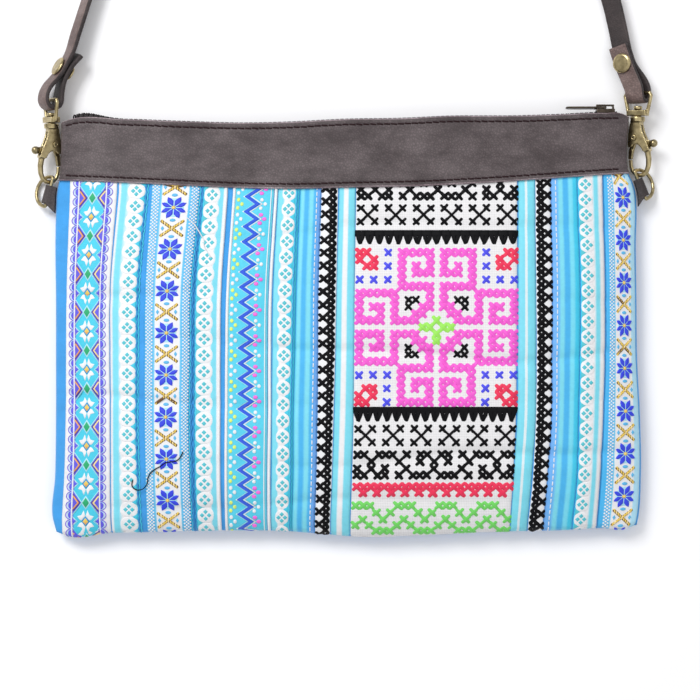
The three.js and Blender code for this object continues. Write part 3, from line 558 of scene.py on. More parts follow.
class Threads:
    """Raised threads on a surface; s and t are millimetres across and up it."""

    def __init__(self):
        self.marks, self.uvs, self.faces, self.index, self.slots = [], [], [], [], []
        self.count = 0

    def add(self, marks, uv, faces, material):
        """Faces between marks, rows of s, t and height above the ribbon."""
        if material not in self.slots:
            self.slots.append(material)
        self.marks.append(marks)
        self.uvs.append(uv)
        self.faces.append(np.where(faces < 0, faces, faces + self.count))
        self.index.append(np.full(len(faces), self.slots.index(material)))
        self.count += len(marks)

    def tile(self, outline, material, height=0.32, turn=90.0):
        """A padded patch of satin stitch; turn is the threads' direction from s, in degrees."""
        outline = np.asarray(outline, float)
        half = (outline + np.roll(outline, -1, 0)) / 2
        rim = np.stack([outline, half], 1).reshape(-1, 2)
        middle = rim.mean(0)
        n = len(rim)
        rings = [np.column_stack([middle + (rim - middle) * k, np.full(n, h)])
                 for k, h in TILE_RINGS * (1, height)]
        marks = np.concatenate([*rings, [[*middle, height]]])
        a = math.radians(turn)
        uv = marks[:, :2] @ np.array([[math.sin(a), math.cos(a)], [-math.cos(a), math.sin(a)]])
        k = np.arange(n)
        after = (k + 1) % n
        faces = [np.column_stack([r * n + k, r * n + after, (r + 1) * n + after, (r + 1) * n + k])
                 for r in range(len(rings) - 1)]
        last = (len(rings) - 1) * n
        faces.append(np.column_stack([last + k, last + after, np.full(n, len(marks) - 1), np.full(n, -1)]))
        self.add(marks, uv, np.concatenate(faces), material)

    def line(self, path, width, material, height=0.3, rise=1.0, along=False):
        """A raised thread along a path; rise scales its height along it, and its ends go into the cloth.

        along: its strands run with the path, not across it as in satin stitch.
        """
        p = np.asarray(path, float)
        rise = np.broadcast_to(np.asarray(rise, float), len(p))
        seg = np.diff(p, axis=0)
        seg /= np.linalg.norm(seg, axis=1)[:, None]
        before, after = np.vstack([seg[:1], seg]), np.vstack([seg, seg[-1:]])
        d = before + after
        d /= np.linalg.norm(d, axis=1)[:, None]
        side = np.column_stack([d[:, 1], -d[:, 0]]) / np.maximum((d * before).sum(1), 0.6)[:, None]
        tip = d * width * 0.3
        p = np.vstack([p[0] - tip[0], p, p[-1] + tip[-1]])
        side = np.vstack([side[0] * 0.5, side, side[-1] * 0.5])
        rise = np.concatenate([[-0.1], rise, [-0.1]])
        n, m = len(p), len(THREAD_SECTION)
        run = np.concatenate([[0], np.cumsum(np.linalg.norm(np.diff(p, axis=0), axis=1))])
        marks = np.zeros((n, m, 3))
        for k, (across, up) in enumerate(THREAD_SECTION):
            marks[:, k, :2] = p + side * across * width / 2
            marks[:, k, 2] = np.where(up > 0, up * height * rise, -0.1 + 0.6 * height * (rise - 1).clip(0))
        uv = np.stack(np.broadcast_arrays(run[:, None], THREAD_SECTION[:, 0] * width / 2), -1).reshape(-1, 2)
        uv = uv[:, ::-1] if along else uv
        self.add(marks.reshape(-1, 3), uv, grid_faces(np.arange(n * m).reshape(n, m)), material)

    def cross(self, s, t, half, material, width=0.95, height=0.42, tall=None):
        """A cross stitch: one thread over the other, both pulled into the cloth at the corners."""
        tall = tall or half
        for k, sign in enumerate((1, -1)):
            share = CROSS_SHARE
            arch = CROSS_ARCH[0] + k * CROSS_ARCH[1]
            (a, b), (c, d) = HAND.normal(0, 0.07, (2, 2))
            bow = HAND.normal(0, 0.08) * (1 - share**2)
            path = np.column_stack([s + a + share * (half + c) + bow, t + b + sign * share * (tall + d)])
            self.line(path, width * HAND.uniform(0.9, 1.08), material, height, arch, along=True)

    def dot(self, s, t, r, material, tall=None, height=0.3, turn=0.0, sides=4):
        """A small knot with a few corners."""
        a = np.arange(sides) * 2 * math.pi / sides + math.radians(turn)
        self.tile(np.column_stack([s + r * np.cos(a), t + (tall or r) * np.sin(a)]), material, height)

    def points(self, s, t, h):
        """Points of marks, and which of them are cut off."""
        return lift(self.top, s, t, h), np.zeros(len(s), bool)

    def settled(self, points=None, faces=(), uv=(), index=()):
        """Points, faces, uv and face materials of what was drawn, after those given."""
        points = np.zeros((0, 3)) if points is None else points
        s, t, h = np.concatenate(self.marks).T
        more = np.concatenate(self.faces)
        marks, off = self.points(s, t, h)
        kept = ~np.all(off[more] | (more < 0), axis=1)
        more = np.where(more[kept] < 0, -1, more[kept] + len(points))
        faces = [*map(list, faces), *([i for i in f if i >= 0] for f in more.tolist())]
        index = np.concatenate([index, np.concatenate(self.index)[kept]])
        uv = np.concatenate([*([uv] if len(uv) else []), *self.uvs])
        return np.concatenate([points, marks]), faces, uv, index


class Ribbon(Threads):
    """One sewn ribbon, with the raised threads on it: s from its left edge, t up."""

    def __init__(self, name):
        super().__init__()
        self.name = name
        self.low, self.high = RIBBONS[name]
        self.width = float(np.mean(np.subtract(self.high, self.low)))

    def left(self, t):
        return smooth(t, LEVELS, self.low)

    def right(self, t):
        return np.minimum(smooth(t, LEVELS, self.high), right_x(t) - SIDE_STEP)

    def x(self, s, t):
        return self.left(t) + (self.right(t) - self.left(t)) * s / self.width

    def top(self, x, y):
        """Height of the ribbon's top: low at its sewn edges, full between them, pressed by the band."""
        span = self.right(y) - self.left(y)
        d = np.minimum(x - self.left(y), self.right(y) - x)
        puff = rounded(d, np.minimum(3.0, span / 2))
        held = eased(unit((band_y(x) - y) / 5.0))
        full = RIBBON_LOW + RIBBON_PUFF * puff
        foot = rounded(y - bottom_y(x), 2.0)
        return front_outer(x, y) + (UNDER_BAND + (full - UNDER_BAND) * held) * (0.3 + 0.7 * foot)

    def points(self, s, t, h):
        x = self.x(s, t)
        low, high = bottom_y(x) + 0.25, band_y(x) - 0.1
        off = (t <= low) | (t >= high)
        t = np.clip(t, low, high)
        return lift(self.top, self.x(s, t), t, h), off

    def ground(self, material, ni=None):
        """The ribbon itself, a closed strip that tucks under the band."""
        ni = ni or max(7, int(self.width / 1.3))
        u = np.linspace(0, 1, ni)
        v = np.linspace(0, 1, RIBBON_ROWS)
        u = u - 0.5 * np.sin(2 * math.pi * u) / (2 * math.pi)
        s = u[:, None] * self.width
        t = np.zeros((ni, len(v)))
        x = self.x(s, t)
        for _ in range(3):
            low, high = bottom_y(x) + 0.15, band_y(x) + 2.0
            t = low + (high - low) * v[None, :]
            x = self.x(s, t)
        z = self.top(x, t)
        under = front_outer(x, t) + 0.02
        self.strip = shell(stack(x, t, under), stack(x, t, np.maximum(z, under + 0.1)))
        uv = np.stack([np.broadcast_to(s, t.shape), t], -1).reshape(-1, 2)
        self.strip_uv = np.concatenate([uv, uv])
        self.slots.append(material)

    def weave(self, stops):
        self.ground(ribbon_ground("ground_" + self.name, stops))

    def finish(self, slot):
        points, faces = self.strip
        uv, index = self.strip_uv, np.zeros(len(faces))
        if self.marks:
            points, faces, uv, index = self.settled(points, faces, uv, index)
        piece = mesh_piece("ribbon_" + self.name, points, faces, self.slots, index=index, uv=uv)
        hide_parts("ribbon_" + self.name)


HAND = np.random.default_rng(11)  # small differences of work done by hand
# Rings of a satin patch: share of its outline, share of its height
TILE_RINGS = np.array([(1.08, -0.3), (1.03, 0.45), (0.85, 0.85), (0.45, 1.0)])
# A cross stitch's thread: places along it, its height there, and what the upper thread adds
CROSS_SHARE = np.array([-1, -0.7, -0.3, 0, 0.3, 0.7, 1])
CROSS_ARCH = np.array([(0.35, 0.8, 1.0, 1.0, 1.0, 0.8, 0.35), (0, 0.1, 0.6, 0.85, 0.6, 0.1, 0)])
# Section of a raised thread: across, up
THREAD_SECTION = np.array([(-1, 0.0), (-0.8, 0.6), (-0.35, 0.95), (0.35, 0.95), (0.8, 0.6), (1, 0.0)])

WHITE, SOFT_WHITE = (236, 237, 240), (222, 236, 241)
TURQUOISE, PALE, CYAN, SKY = (64, 200, 226), (124, 219, 239), (84, 208, 236), (68, 180, 238)
BRIGHT = (60, 204, 240)
T_WHITE = thread("white", (240, 241, 244))
T_PALE = thread("pale", (178, 228, 242))
T_TURQUOISE = thread("turquoise", (64, 204, 232))
T_TEAL = thread("teal", (84, 198, 212))
T_SKY = thread("sky", (92, 186, 236))
T_BLUE = thread("blue", (44, 92, 232))
T_ROYAL = thread("royal", (40, 62, 226))
T_DEEP = thread("deep", (36, 138, 204))
T_VIOLET = thread("violet", (92, 88, 228))
T_PURPLE = thread("purple", (118, 96, 220))
T_DARK_PURPLE = thread("dark_purple", (84, 48, 140))
T_ORANGE = thread("orange", (240, 168, 96))
T_CREAM = thread("cream", (250, 226, 160))
T_GOLD = thread("gold", (238, 204, 92))
# brown thread, used only as painted shade under the twists of the gold rope
T_ROPE_SHADE = thread("brown", (104, 70, 34))
T_GREEN = thread("green", (30, 172, 112))
T_YELLOW = thread("yellow", (226, 246, 120))
T_PINK = thread("pink", (250, 110, 222))
T_HOT = thread("hot_pink", (246, 92, 212))
T_RED = thread("red", (238, 38, 84))
T_LIME = thread("lime", (158, 236, 92))
T_LEAF = thread("leaf", (112, 214, 96))
T_INDIGO = thread("indigo", (70, 72, 236))
T_BLACK = thread("black", (9, 9, 13), sheen=0.0, shine=0.12)


def arc(s, t, across, tall, start, end, count=9):
    """Points on an ellipse between two directions in degrees."""
    a = np.radians(np.linspace(start, end, count))
    return np.column_stack([s + across * np.cos(a), t + tall * np.sin(a)])


def repeat(start, pitch, low=-104.0):
    """Places from the band down to the bottom edge."""
    return np.arange(start, low, -pitch)


def mirrored(shape, s, t):
    """Copies of a quarter of a motif about its middle."""
    for across, up in ((1, 1), (-1, 1), (1, -1), (-1, -1)):
        yield np.asarray(shape, float) * (across, up) + (s, t)


def net(r, s0, s1, rows, pitch, start=70.0):
    """White lace between two lines: close rows of small knots, each row half a pitch on from the last."""
    for row, s in enumerate(np.linspace(s0, s1, rows)):
        for t in repeat(start - pitch / 2 * (row % 2), pitch):
            r.dot(s, t, 0.55, T_WHITE, tall=0.5, height=0.26, turn=45 * (row % 2))


def lobes(r, s, start, pitch, across, tall, sign, clover, gap_colour):
    """White scallops with a four-knot clover in each, and a small patch between them."""
    for t in repeat(start + pitch, pitch):
        a = np.radians(np.arange(0, 360, 15))
        full = [np.sign(f) * np.abs(f) ** 0.8 for f in (np.cos(a), np.sin(a))]
        r.tile(np.column_stack([s + across * full[0], t + tall * full[1]]), T_WHITE, 0.2, 0)
        for a in range(4):
            c, d = math.cos(math.radians(90 * a)), math.sin(math.radians(90 * a))
            r.dot(s + clover * c, t + clover * d, 1.12, T_TEAL, height=0.42)
        t += pitch / 2
        far = s + sign * across
        patch = [(far - 0.1 * sign, t - 1.5), (far - 2.3 * sign, t), (far - 0.1 * sign, t + 1.5)]
        r.tile(patch, gap_colour, 0.22, 0)


LINE_TOP, LINE_LOW = 75.0, -106.0  # long lines run past the ribbon here and are cut off at its ends


def piping(r, s, width=1.4, material=T_WHITE, height=0.75):
    t = repeat(LINE_TOP, 2.5, LINE_LOW)
    r.line(np.column_stack([np.full(len(t), s), t]), width, material, height)


def wavy(r, s, width, material, pitch=4.0, sway=0.2, height=0.3):
    t = repeat(LINE_TOP, pitch / 4, LINE_LOW)
    r.line(np.column_stack([s + sway * np.sin(t * 2 * math.pi / pitch), t]), width, material, height)


DASH_LONG, DASH_GAP, DASH_TOP = 1.7, 1.1, 74.0


def dashes(r, s):
    """White stitches in line."""
    for t in repeat(DASH_TOP, DASH_LONG + DASH_GAP):
        r.line([(s, t), (s, t - DASH_LONG / 2), (s, t - DASH_LONG)], 0.55, T_WHITE, 0.25)


# Ribbon of diamonds: all about the middle line, in millimetres
RULE, SCALLOP = 6.5, 4.52
STAR_ARM = [(-0.95, 5.3), (-0.1, 2.7), (-1.7, 0.5), (-2.6, 0.8), (-3.8, 2.5), (-1.9, 3.0)]


def pattern_diamond(r):
    r.ground(ribbon_ground("ground_white", [(0.0, WHITE), (20.0, WHITE)]))
    mid, pitch = 11.1, 18.1
    for sign in (-1, 1):
        rule = mid + sign * RULE
        for t in repeat(72.0, SCALLOP):
            turn = 90 if sign < 0 else -90
            r.tile(arc(rule, t, 1.75, 1.8, turn, turn + 180, 11), T_VIOLET, 0.3, 0)
            r.line(arc(rule, t, 2.85, SCALLOP / 2, turn, turn + 180, 11), 0.42, T_PURPLE, 0.28)
            r.line(arc(rule, t, 2.2, 2.0, turn, turn + 180, 11), 0.3, T_PALE, 0.16)
        piping(r, rule, 0.8, T_WHITE, 0.5)
        piping(r, rule - sign * 0.65, 0.4, T_PURPLE, 0.3)
    for g in repeat(60.1 + pitch, pitch, -112.0):
        low = g - pitch
        body = [(0, g - 2.7), (1.9, g - 0.3), (RULE - 0.8, g - 5.3), (RULE - 0.8, g - 7.0),
                (RULE - 2.3, g - pitch / 2), (RULE - 0.8, low + 7.0), (RULE - 0.8, low + 5.3),
                (1.9, low + 0.3), (0, low + 2.7)]
        body += [(-a, b) for a, b in body[-2:0:-1]]
        r.tile([(mid + a, b) for a, b in body], T_TURQUOISE, 0.2, 0)
        centre = g - pitch / 2
        for arm in mirrored(STAR_ARM, mid, centre):
            r.tile(arm, T_WHITE, 0.42, 90)
        r.dot(mid, centre, 1.95, T_DEEP, tall=2.4, height=0.4)
        r.dot(mid, centre, 1.35, T_GOLD, tall=1.75, height=0.58)
        r.dot(mid, centre - 0.5, 0.7, T_ORANGE, tall=0.9, height=0.64)
        for sign in (-1, 1):
            side = mid + sign * (RULE - 0.4)
            point = [(side, centre + 1.5), (side - sign * 1.6, centre), (side, centre - 1.5)]
            r.tile(point, T_VIOLET, 0.3, 0)
            edge = [(side, centre + 2.2), (side - sign * 2.3, centre), (side, centre - 2.2)]
            r.line(edge, 0.4, T_PALE, 0.36)
            apex = mid + sign * 2.35
            r.tile([(side, g + 5.2), (apex, g), (side, g - 5.2)], T_VIOLET, 0.26, 0)
            r.line([(side, g + 4.2), (apex + sign * 0.5, g), (side, g - 4.2)], 0.6, T_DARK_PURPLE, 0.4)
            r.line([(side - sign * 0.2, g + 3.1), (apex + sign * 1.2, g), (side - sign * 0.2, g - 3.1)],
                   0.85, T_ORANGE if sign < 0 else T_CREAM, 0.5)
            bend = apex - sign * 0.5
            r.line([(side, g + 5.9), (bend, g + 0.1), (bend, g - 0.1), (side, g - 5.9)], 0.55, T_PALE, 0.42)
        r.dot(mid, g, 2.25, T_PALE, tall=3.3, height=0.36)
        r.dot(mid, g, 1.65, T_GREEN, tall=2.55, height=0.55)


def pattern_clover_1(r):
    stops = [(0.0, WHITE), (0.7, WHITE), (1.5, PALE), (3.6, PALE), (5.6, WHITE), (8.6, WHITE),
             (8.8, TURQUOISE), (13.2, TURQUOISE)]
    r.weave(stops)
    lobes(r, 8.3, 63.3, 7.2, 3.9, 3.45, 1, 1.55, T_TURQUOISE)
    wavy(r, 12.9, 0.9, T_DEEP, 4.4, 0.35, 0.4)
    wavy(r, 13.6, 0.6, T_TURQUOISE, 3.1)


# Petals of a quarter of the eight-petal flower: across, up
PETALS = [
    [(0.3, 0.6), (0.3, 3.2), (1.4, 4.3), (2.9, 5.0), (3.1, 3.6), (2.8, 2.3)],
    [(0.8, 0.3), (3.1, 2.1), (4.2, 2.4), (5.45, 2.2), (4.8, 1.1), (3.6, 0.2)],
]


def flowers(r, s, start, pitch, wide, tall):
    """Blue eight-petal flowers with a gold eye, and a gold cross between each two: a gold rope over a brown
    line that is painted shade between its twists, with painted highlights on some twists.
    """
    for t in repeat(start + pitch, pitch, -112.0):
        r.tile(arc(s, t, 4.4 * wide, 4.3 * tall, 0, 340, 18), T_PALE, 0.14, 0)
        for petal in PETALS:
            for shape in mirrored(np.multiply(petal, (wide, tall)), s, t):
                r.tile(shape, T_ROYAL, 0.45, 45)
        r.dot(s, t, 0.85, T_GOLD, height=0.6, sides=8)
        r.dot(s, t, 0.4, T_CREAM, height=0.68, sides=6)
        for up in (6.0, -6.0):
            r.tile(arc(s, t + up * tall, 1.35, 0.75, 0, 315, 8), T_SKY, 0.3, 90)
        x = t - pitch / 2
        half, high = 5.0 * wide, 3.55 * tall
        for sign in (1, -1):
            ends = np.array([(s - half, x - sign * high), (s + half, x + sign * high)])
            # painted shade: a brown line under the gold rope, seen between its twists
            r.line([ends[0], ends.mean(0), ends[1]], 1.45, T_ROPE_SHADE, 0.34, 1.0 + 0.3 * (sign < 0))
            d = (ends[1] - ends[0]) / np.linalg.norm(ends[1] - ends[0])
            twist = np.array([d[0] * 0.9 - sign * d[1] * 0.45, d[1] * 0.9 + sign * d[0] * 0.45])
            for k, share in enumerate(np.linspace(0.05, 0.95, 9)):
                middle = ends[0] + (ends[1] - ends[0]) * share
                # painted highlight: every third twist of the gold rope is cream
                gold = T_CREAM if k % 3 == 1 else T_GOLD
                path = [middle - twist * 0.75, middle, middle + twist * 0.75]
                r.line(path, 1.0, gold, 0.5, [0.7, 1.0 + 0.35 * (sign < 0), 0.7])
        for sign in (-1, 1):
            r.dot(s + sign * 4.3 * wide, x, 0.75, T_SKY, tall=1.15, height=0.26)


def pattern_flower_1(r):
    blue = (92, 186, 236)
    stops = [(0.0, SKY), (0.4, blue), (4.0, blue), (4.8, (120, 204, 240)), (5.1, WHITE), (16.8, WHITE),
             (17.1, (112, 200, 240)), (17.8, blue), (22.0, SKY)]
    r.weave(stops)
    net(r, 0.9, 3.5, 4, 1.6)
    net(r, 18.4, 21.0, 4, 1.6)
    flowers(r, 10.6, 55.3, 19.8, 1.0, 1.0)
    wavy(r, 22.7, 1.0, T_DEEP, 5.0, 0.35, 0.4)
    wavy(r, 21.9, 0.5, T_TURQUOISE, 3.3)


def pattern_clover_2(r):
    stops = [(0.0, TURQUOISE), (4.4, TURQUOISE), (4.6, WHITE), (7.4, WHITE), (8.3, PALE), (10.3, PALE),
             (10.8, WHITE), (12.4, WHITE)]
    r.weave(stops)
    lobes(r, 4.9, 61.4, 7.6, 3.7, 3.6, -1, 1.7, T_TEAL)
    wavy(r, 0.3, 0.5, T_DEEP, 3.4)
    piping(r, 11.6, 1.3)


def pattern_zigzag(r):
    r.weave([(0.0, PALE), (0.8, CYAN), (17.6, CYAN), (18.4, PALE)])
    pitch, right, left = 7.18, 11.1, 5.7
    t = repeat(60.6 + 2 * pitch, pitch / 2, -108.0)
    s = np.where(np.arange(len(t)) % 2, right, left)
    r.line(np.column_stack([s, t]), 1.65, T_BLUE, 0.5)
    r.line(np.column_stack([s + 2.05, t]), 0.55, T_WHITE, 0.3)
    r.line(np.column_stack([s - 1.75, t]), 0.35, T_PALE, 0.2)
    for k, t in enumerate(repeat(57.0 + 2 * pitch, pitch, -110.0)):
        yellow, pink = (T_YELLOW, T_WHITE) if k % 2 == 0 else (T_WHITE, T_PINK)
        for a, b in ((-1.75, 2.1), (0, 0), (-1.95, -1.8)):
            r.dot(3.4 + a, t + b, 0.85, yellow, tall=1.0, height=0.36, sides=6)
        size = 1.1 if k % 2 else 0.85
        for a, b in ((-1.5, 2.0), (0.2, 0), (-1.8, -2.0)):
            r.dot(14.4 + a, t + b, size, pink, tall=0.9, height=0.4, turn=20, sides=7)
        r.dot(4.3, t - pitch / 2, 0.45, T_WHITE, height=0.24)
    piping(r, 17.2, 0.5, T_WHITE, 0.3)
    piping(r, -0.7, 1.4)
    piping(r, r.width + 1.05, 1.5)


def pattern_clover_3(r):
    stops = [(0.0, PALE), (2.6, PALE), (3.4, WHITE), (6.2, WHITE), (6.4, (110, 222, 240)), (9.0, TURQUOISE),
             (10.1, TURQUOISE)]
    r.weave(stops)
    lobes(r, 5.2, 62.3, 7.7, 3.0, 3.3, 1, 1.6, T_TURQUOISE)
    wavy(r, 9.1, 0.45, T_DEEP, 3.4, 0.12)


def pattern_ombre_1(r):
    stops = [(0.0, CYAN), (0.9, PALE), (1.7, PALE), (2.7, SKY), (4.1, SKY), (5.2, PALE), (6.4, PALE),
             (7.3, SKY), (9.6, (108, 168, 242))]
    r.weave(stops)
    dashes(r, 8.4)


def chain(r, single, row, start, pitch):
    """Black cross stitch: a column of single crosses beside a close chain of them."""
    for t in repeat(start + pitch, pitch):
        r.cross(single, t, 1.6, T_BLACK, 1.6, tall=1.55)
    for t in repeat(start + pitch, pitch / 2):
        r.cross(row, t, 1.5, T_BLACK, 1.7, tall=1.5)


def pattern_chain_1(r):
    r.weave([(0.0, WHITE), (8.0, WHITE)])
    chain(r, 1.95, 5.35, 15.4 + 6.13 * 7, 6.13)


def pattern_chain_2(r):
    r.weave([(0.0, WHITE), (8.0, WHITE)])
    chain(r, 5.7, 2.3, 61.2, 6.05)


def pattern_stripe_1(r):
    stops = [(0.0, PALE), (2.2, PALE), (2.8, WHITE), (4.6, WHITE), (5.2, PALE), (8.0, PALE)]
    r.weave(stops)


def pattern_stripe_2(r):
    stops = [(0.0, PALE), (3.0, PALE), (3.3, SOFT_WHITE), (4.2, SOFT_WHITE), (4.5, PALE), (8.0, PALE)]
    r.weave(stops)


def pattern_ombre_2(r):
    stops = [(0.0, (112, 174, 244)), (3.0, (104, 184, 246)), (4.0, PALE), (5.2, PALE), (6.2, SKY), (8.0, SKY),
             (9.0, (120, 222, 246)), (10.2, (120, 222, 246)), (11.2, BRIGHT), (13.2, BRIGHT)]
    r.weave(stops)
    dashes(r, 2.2)


def pattern_clover_4(r):
    stops = [(0.0, BRIGHT), (2.9, BRIGHT), (3.1, WHITE), (6.6, WHITE), (7.6, PALE), (9.0, PALE),
             (9.9, WHITE), (12.2, WHITE)]
    r.weave(stops)
    lobes(r, 3.6, 59.3, 7.24, 3.1, 3.35, -1, 1.6, T_TEAL)
    wavy(r, 12.1, 0.4, T_DEEP, 6.0, 0.05)


def pattern_flower_2(r):
    blue = (96, 188, 238)
    stops = [(0.0, SKY), (2.2, SKY), (2.4, blue), (5.2, blue), (5.9, (140, 214, 246)), (6.2, WHITE),
             (15.4, WHITE), (15.9, (176, 226, 248)), (17.8, (176, 226, 248))]
    r.weave(stops)
    net(r, 2.9, 4.9, 3, 1.6)
    flowers(r, 11.3, 60.6, 20.35, 0.86, 1.02)


# Cross-stitched ribbon: 23 columns of cells
CELL, CELL_UP, FIRST = 3.3, 3.206, 2.3
SNAIL_TOP, SNAIL_LAST = 33.9, 22  # height of its top row, and its last column and row
CROSS = 1.62  # half of a cross stitch
V_COUNT, V_PITCH = 17, 4.5  # black points in a row
EVEN_WHITE, EVEN_PITCH, EVEN_COLUMNS = (234, 233, 235), (0.82, 0.8), 60
# Rows of black crosses above and below the snail: height and columns
HORNS = {
    "A": (0, 1, 3, 4, 5, 7, 9, 10, 12, 13, 15, 17, 18, 19, 21, 22), "B": (2, 6, 9, 11, 13, 16, 20),
    "C": (0, 2, 4, 7, 11, 15, 18, 20, 22), "D": (0, 1, 3, 4, 6, 8, 9, 10, 12, 13, 14, 16, 18, 19, 21, 22),
}
HORN_ROWS = ((67.2, "B"), (64.0, "C"), (60.8, "D"), (-61.4, "A"), (-64.7, "B"), (-68.0, "C"), (-71.2, "D"))
BLOCKS, BLOCK_ROWS = (0, 4, 8, 12, 16, 20), (51.9, -52.4)
V_ROWS = ((44.1, 37.8), (-39.3, -45.8))
# Red and green rows near the bottom edge
LOW_ROWS = (
    (-76.7, "red", tuple(range(23))), (-79.7, "red", tuple(range(1, 22, 2))),
    (-85.8, "green", (0, 1, 2, 6, 7, 8, 12, 13, 14, 18, 19, 20)), (-89.3, "green", (3, 5, 9, 11, 15, 17, 21)),
    (-92.6, "green", (1, 4, 7, 10, 13, 16, 19, 22)), (-95.5, "green", (0, 2, 6, 8, 12, 14, 18, 20)),
    (-98.3, "green", (3, 4, 5, 9, 10, 11, 15, 16, 17, 21, 22)),
)
# A quarter of the snail, as runs of cells from (column, row) to (column, row); each also swaps the two
SNAIL = {
    "hot_pink": ((6, 0, 10, 0), (6, 1, 6, 5), (10, 1, 10, 3), (8, 3, 9, 3), (8, 2, 8, 2), (7, 5, 10, 5),
                 (10, 6, 10, 8), (9, 8, 9, 8), (9, 9, 9, 9)),
    "red": ((0, 0, 1, 0), (2, 1, 2, 2)),
    "indigo": ((4, 0, 4, 0), (4, 2, 4, 2), (4, 4, 4, 4)),
    "black": ((7, 7, 8, 7),),
}
LIME = ((9, 11), (10, 11), (12, 11), (13, 11), (11, 10), (11, 12), (11, 13))
STITCH = {"hot_pink": (T_HOT, 1.95), "red": (T_RED, 1.9), "indigo": (T_INDIGO, 1.45), "black": (T_BLACK, 1.4),
          "green": (T_LEAF, 1.7), "lime": (T_LIME, 2.0)}


def snail_cells():
    """Every stitch of the snail: colour, column and row."""
    for colour, runs in SNAIL.items():
        quarter = set()
        for c0, r0, c1, r1 in runs:
            run = {(c, r) for c in range(c0, c1 + 1) for r in range(r0, r1 + 1)}
            quarter |= run | {(r, c) for c, r in run}
        half = quarter | {(SNAIL_LAST - c, r) for c, r in quarter}
        for c, r in sorted(half | {(c, SNAIL_LAST - r) for c, r in half}):
            yield colour, c, r
    for c, r in LIME:
        yield "lime", c, r


def pattern_cross_stitch(r):
    stops = [(0.0, EVEN_WHITE), (80.0, EVEN_WHITE)]
    r.ground(ribbon_ground("ground_even", stops, EVEN_PITCH, 0.8), EVEN_COLUMNS)
    for colour, c, row in snail_cells():
        material, width = STITCH[colour]
        half = 1.45 if colour in ("black", "indigo") else CROSS
        r.cross(FIRST + CELL * c, SNAIL_TOP - CELL_UP * row, half, material, width, 0.42)
    for t, row in HORN_ROWS:
        for c in HORNS[row]:
            r.cross(FIRST + CELL * c, t, CROSS, T_BLACK, 1.65)
    for t, colour, columns in LOW_ROWS:
        material, width = STITCH[colour]
        for c in columns:
            r.cross(FIRST + CELL * c, t, CROSS, material, width, tall=1.55)
    for t in BLOCK_ROWS:
        for c in BLOCKS:
            s = FIRST + CELL * (c + 1)
            for a in (-1, 1):
                for b in (-1, 1):
                    r.cross(s + a * CELL, t + b * CELL_UP, 1.45, T_BLACK, 1.4)
            r.cross(s, t, CELL * 1.25, T_BLACK, 1.25, tall=CELL_UP * 1.25)
    for top, tip in V_ROWS:
        for k in range(V_COUNT):
            s = FIRST + V_PITCH * k
            head = [(s - 2.35, top + 0.4), (s + 2.35, top + 0.4), (s + 2.3, top - 2.4), (s - 2.3, top - 2.4)]
            r.tile(head, T_BLACK, 0.5, 90)
            for a in (-1, -0.5, 0.5, 1):
                path = [(s + a * 2.1, top), (s + a * 1.25, (top + tip) / 2),
                        (s + a * 0.3, tip + 0.8 * abs(a))]
                r.line(path + HAND.normal(0, 0.1, (3, 2)), 1.5, T_BLACK, 0.55, [0.5, 1.0, 0.7], along=True)


PATTERNS = {
    "diamond": pattern_diamond, "clover_1": pattern_clover_1, "flower_1": pattern_flower_1,
    "clover_2": pattern_clover_2, "zigzag": pattern_zigzag, "clover_3": pattern_clover_3,
    "ombre_1": pattern_ombre_1, "chain_1": pattern_chain_1, "stripe_1": pattern_stripe_1,
    "cross_stitch": pattern_cross_stitch, "stripe_2": pattern_stripe_2, "chain_2": pattern_chain_2,
    "ombre_2": pattern_ombre_2, "clover_4": pattern_clover_4, "flower_2": pattern_flower_2,
}


def make_ribbons():
    for name, pattern in PATTERNS.items():
        ribbon = Ribbon(name)
        pattern(ribbon)
        ribbon.finish("even_weave" if name in ("cross_stitch", "chain_1", "chain_2") else "ribbon_weave")


make_ribbons()

# Two thread ends that lie loose on the ribbons: x and y
LOOSE_BLACK = [
    (-101.1, -73.7), (-101.5, -76.0), (-100.4, -77.7), (-98.4, -78.4), (-96.1, -77.7), (-94.3, -75.4),
    (-93.7, -72.3), (-92.3, -70.0), (-90.0, -68.2), (-88.0, -67.1), (-85.1, -65.2), (-81.1, -64.6),
    (-79.1, -63.6), (-77.7, -61.6), (-77.0, -60.2),
]
LOOSE_WHITE = [
    (-75.3, 50.4), (-72.1, 47.6), (-70.2, 44.7), (-68.5, 41.9), (-67.4, 39.6), (-67.2, 36.8), (-63.9, 31.6),
]
LOOSE_UP = 1.5  # above the cloth, on top of the ribbons


def make_loose_threads():
    work = Threads()
    work.top = lambda x, y: front_outer(x, y) + LOOSE_UP
    for path, material in ((LOOSE_BLACK, T_BLACK), (LOOSE_WHITE, T_WHITE)):
        knots = np.arange(len(path))
        fine = np.linspace(0, len(path) - 1, 5 * len(path))
        a, b = np.transpose(path)
        route = np.column_stack([smooth(fine, knots, a), smooth(fine, knots, b)])
        work.line(route, 0.5, material, 0.3, along=True)
    points, faces, uv, index = work.settled()
    mesh_piece("loose_threads", points, faces, work.slots, index=index, uv=uv)


make_loose_threads()

# Leather band round the mouth
BAND_T = 1.6
BAND_ROUND = 0.9
BAND_GRID = {1: (230, 60), -1: (190, 50)}  # points along and up
CUT_EDGE = 0.5  # the raw cut edge shows this wide
ROW_TOP, ROW_LOW = 2.7, 2.3  # stitch rows, from the band's top and lower edges
STITCH_PITCH, STITCH_LONG, STITCH_W = 3.3, 2.7, 0.85
STITCH_FROM, STITCH_TO = -132.5, 131
STITCH_HIGH = {1: 0.5, -1: -0.24}  # flatter behind, so that the pouch lies on its band


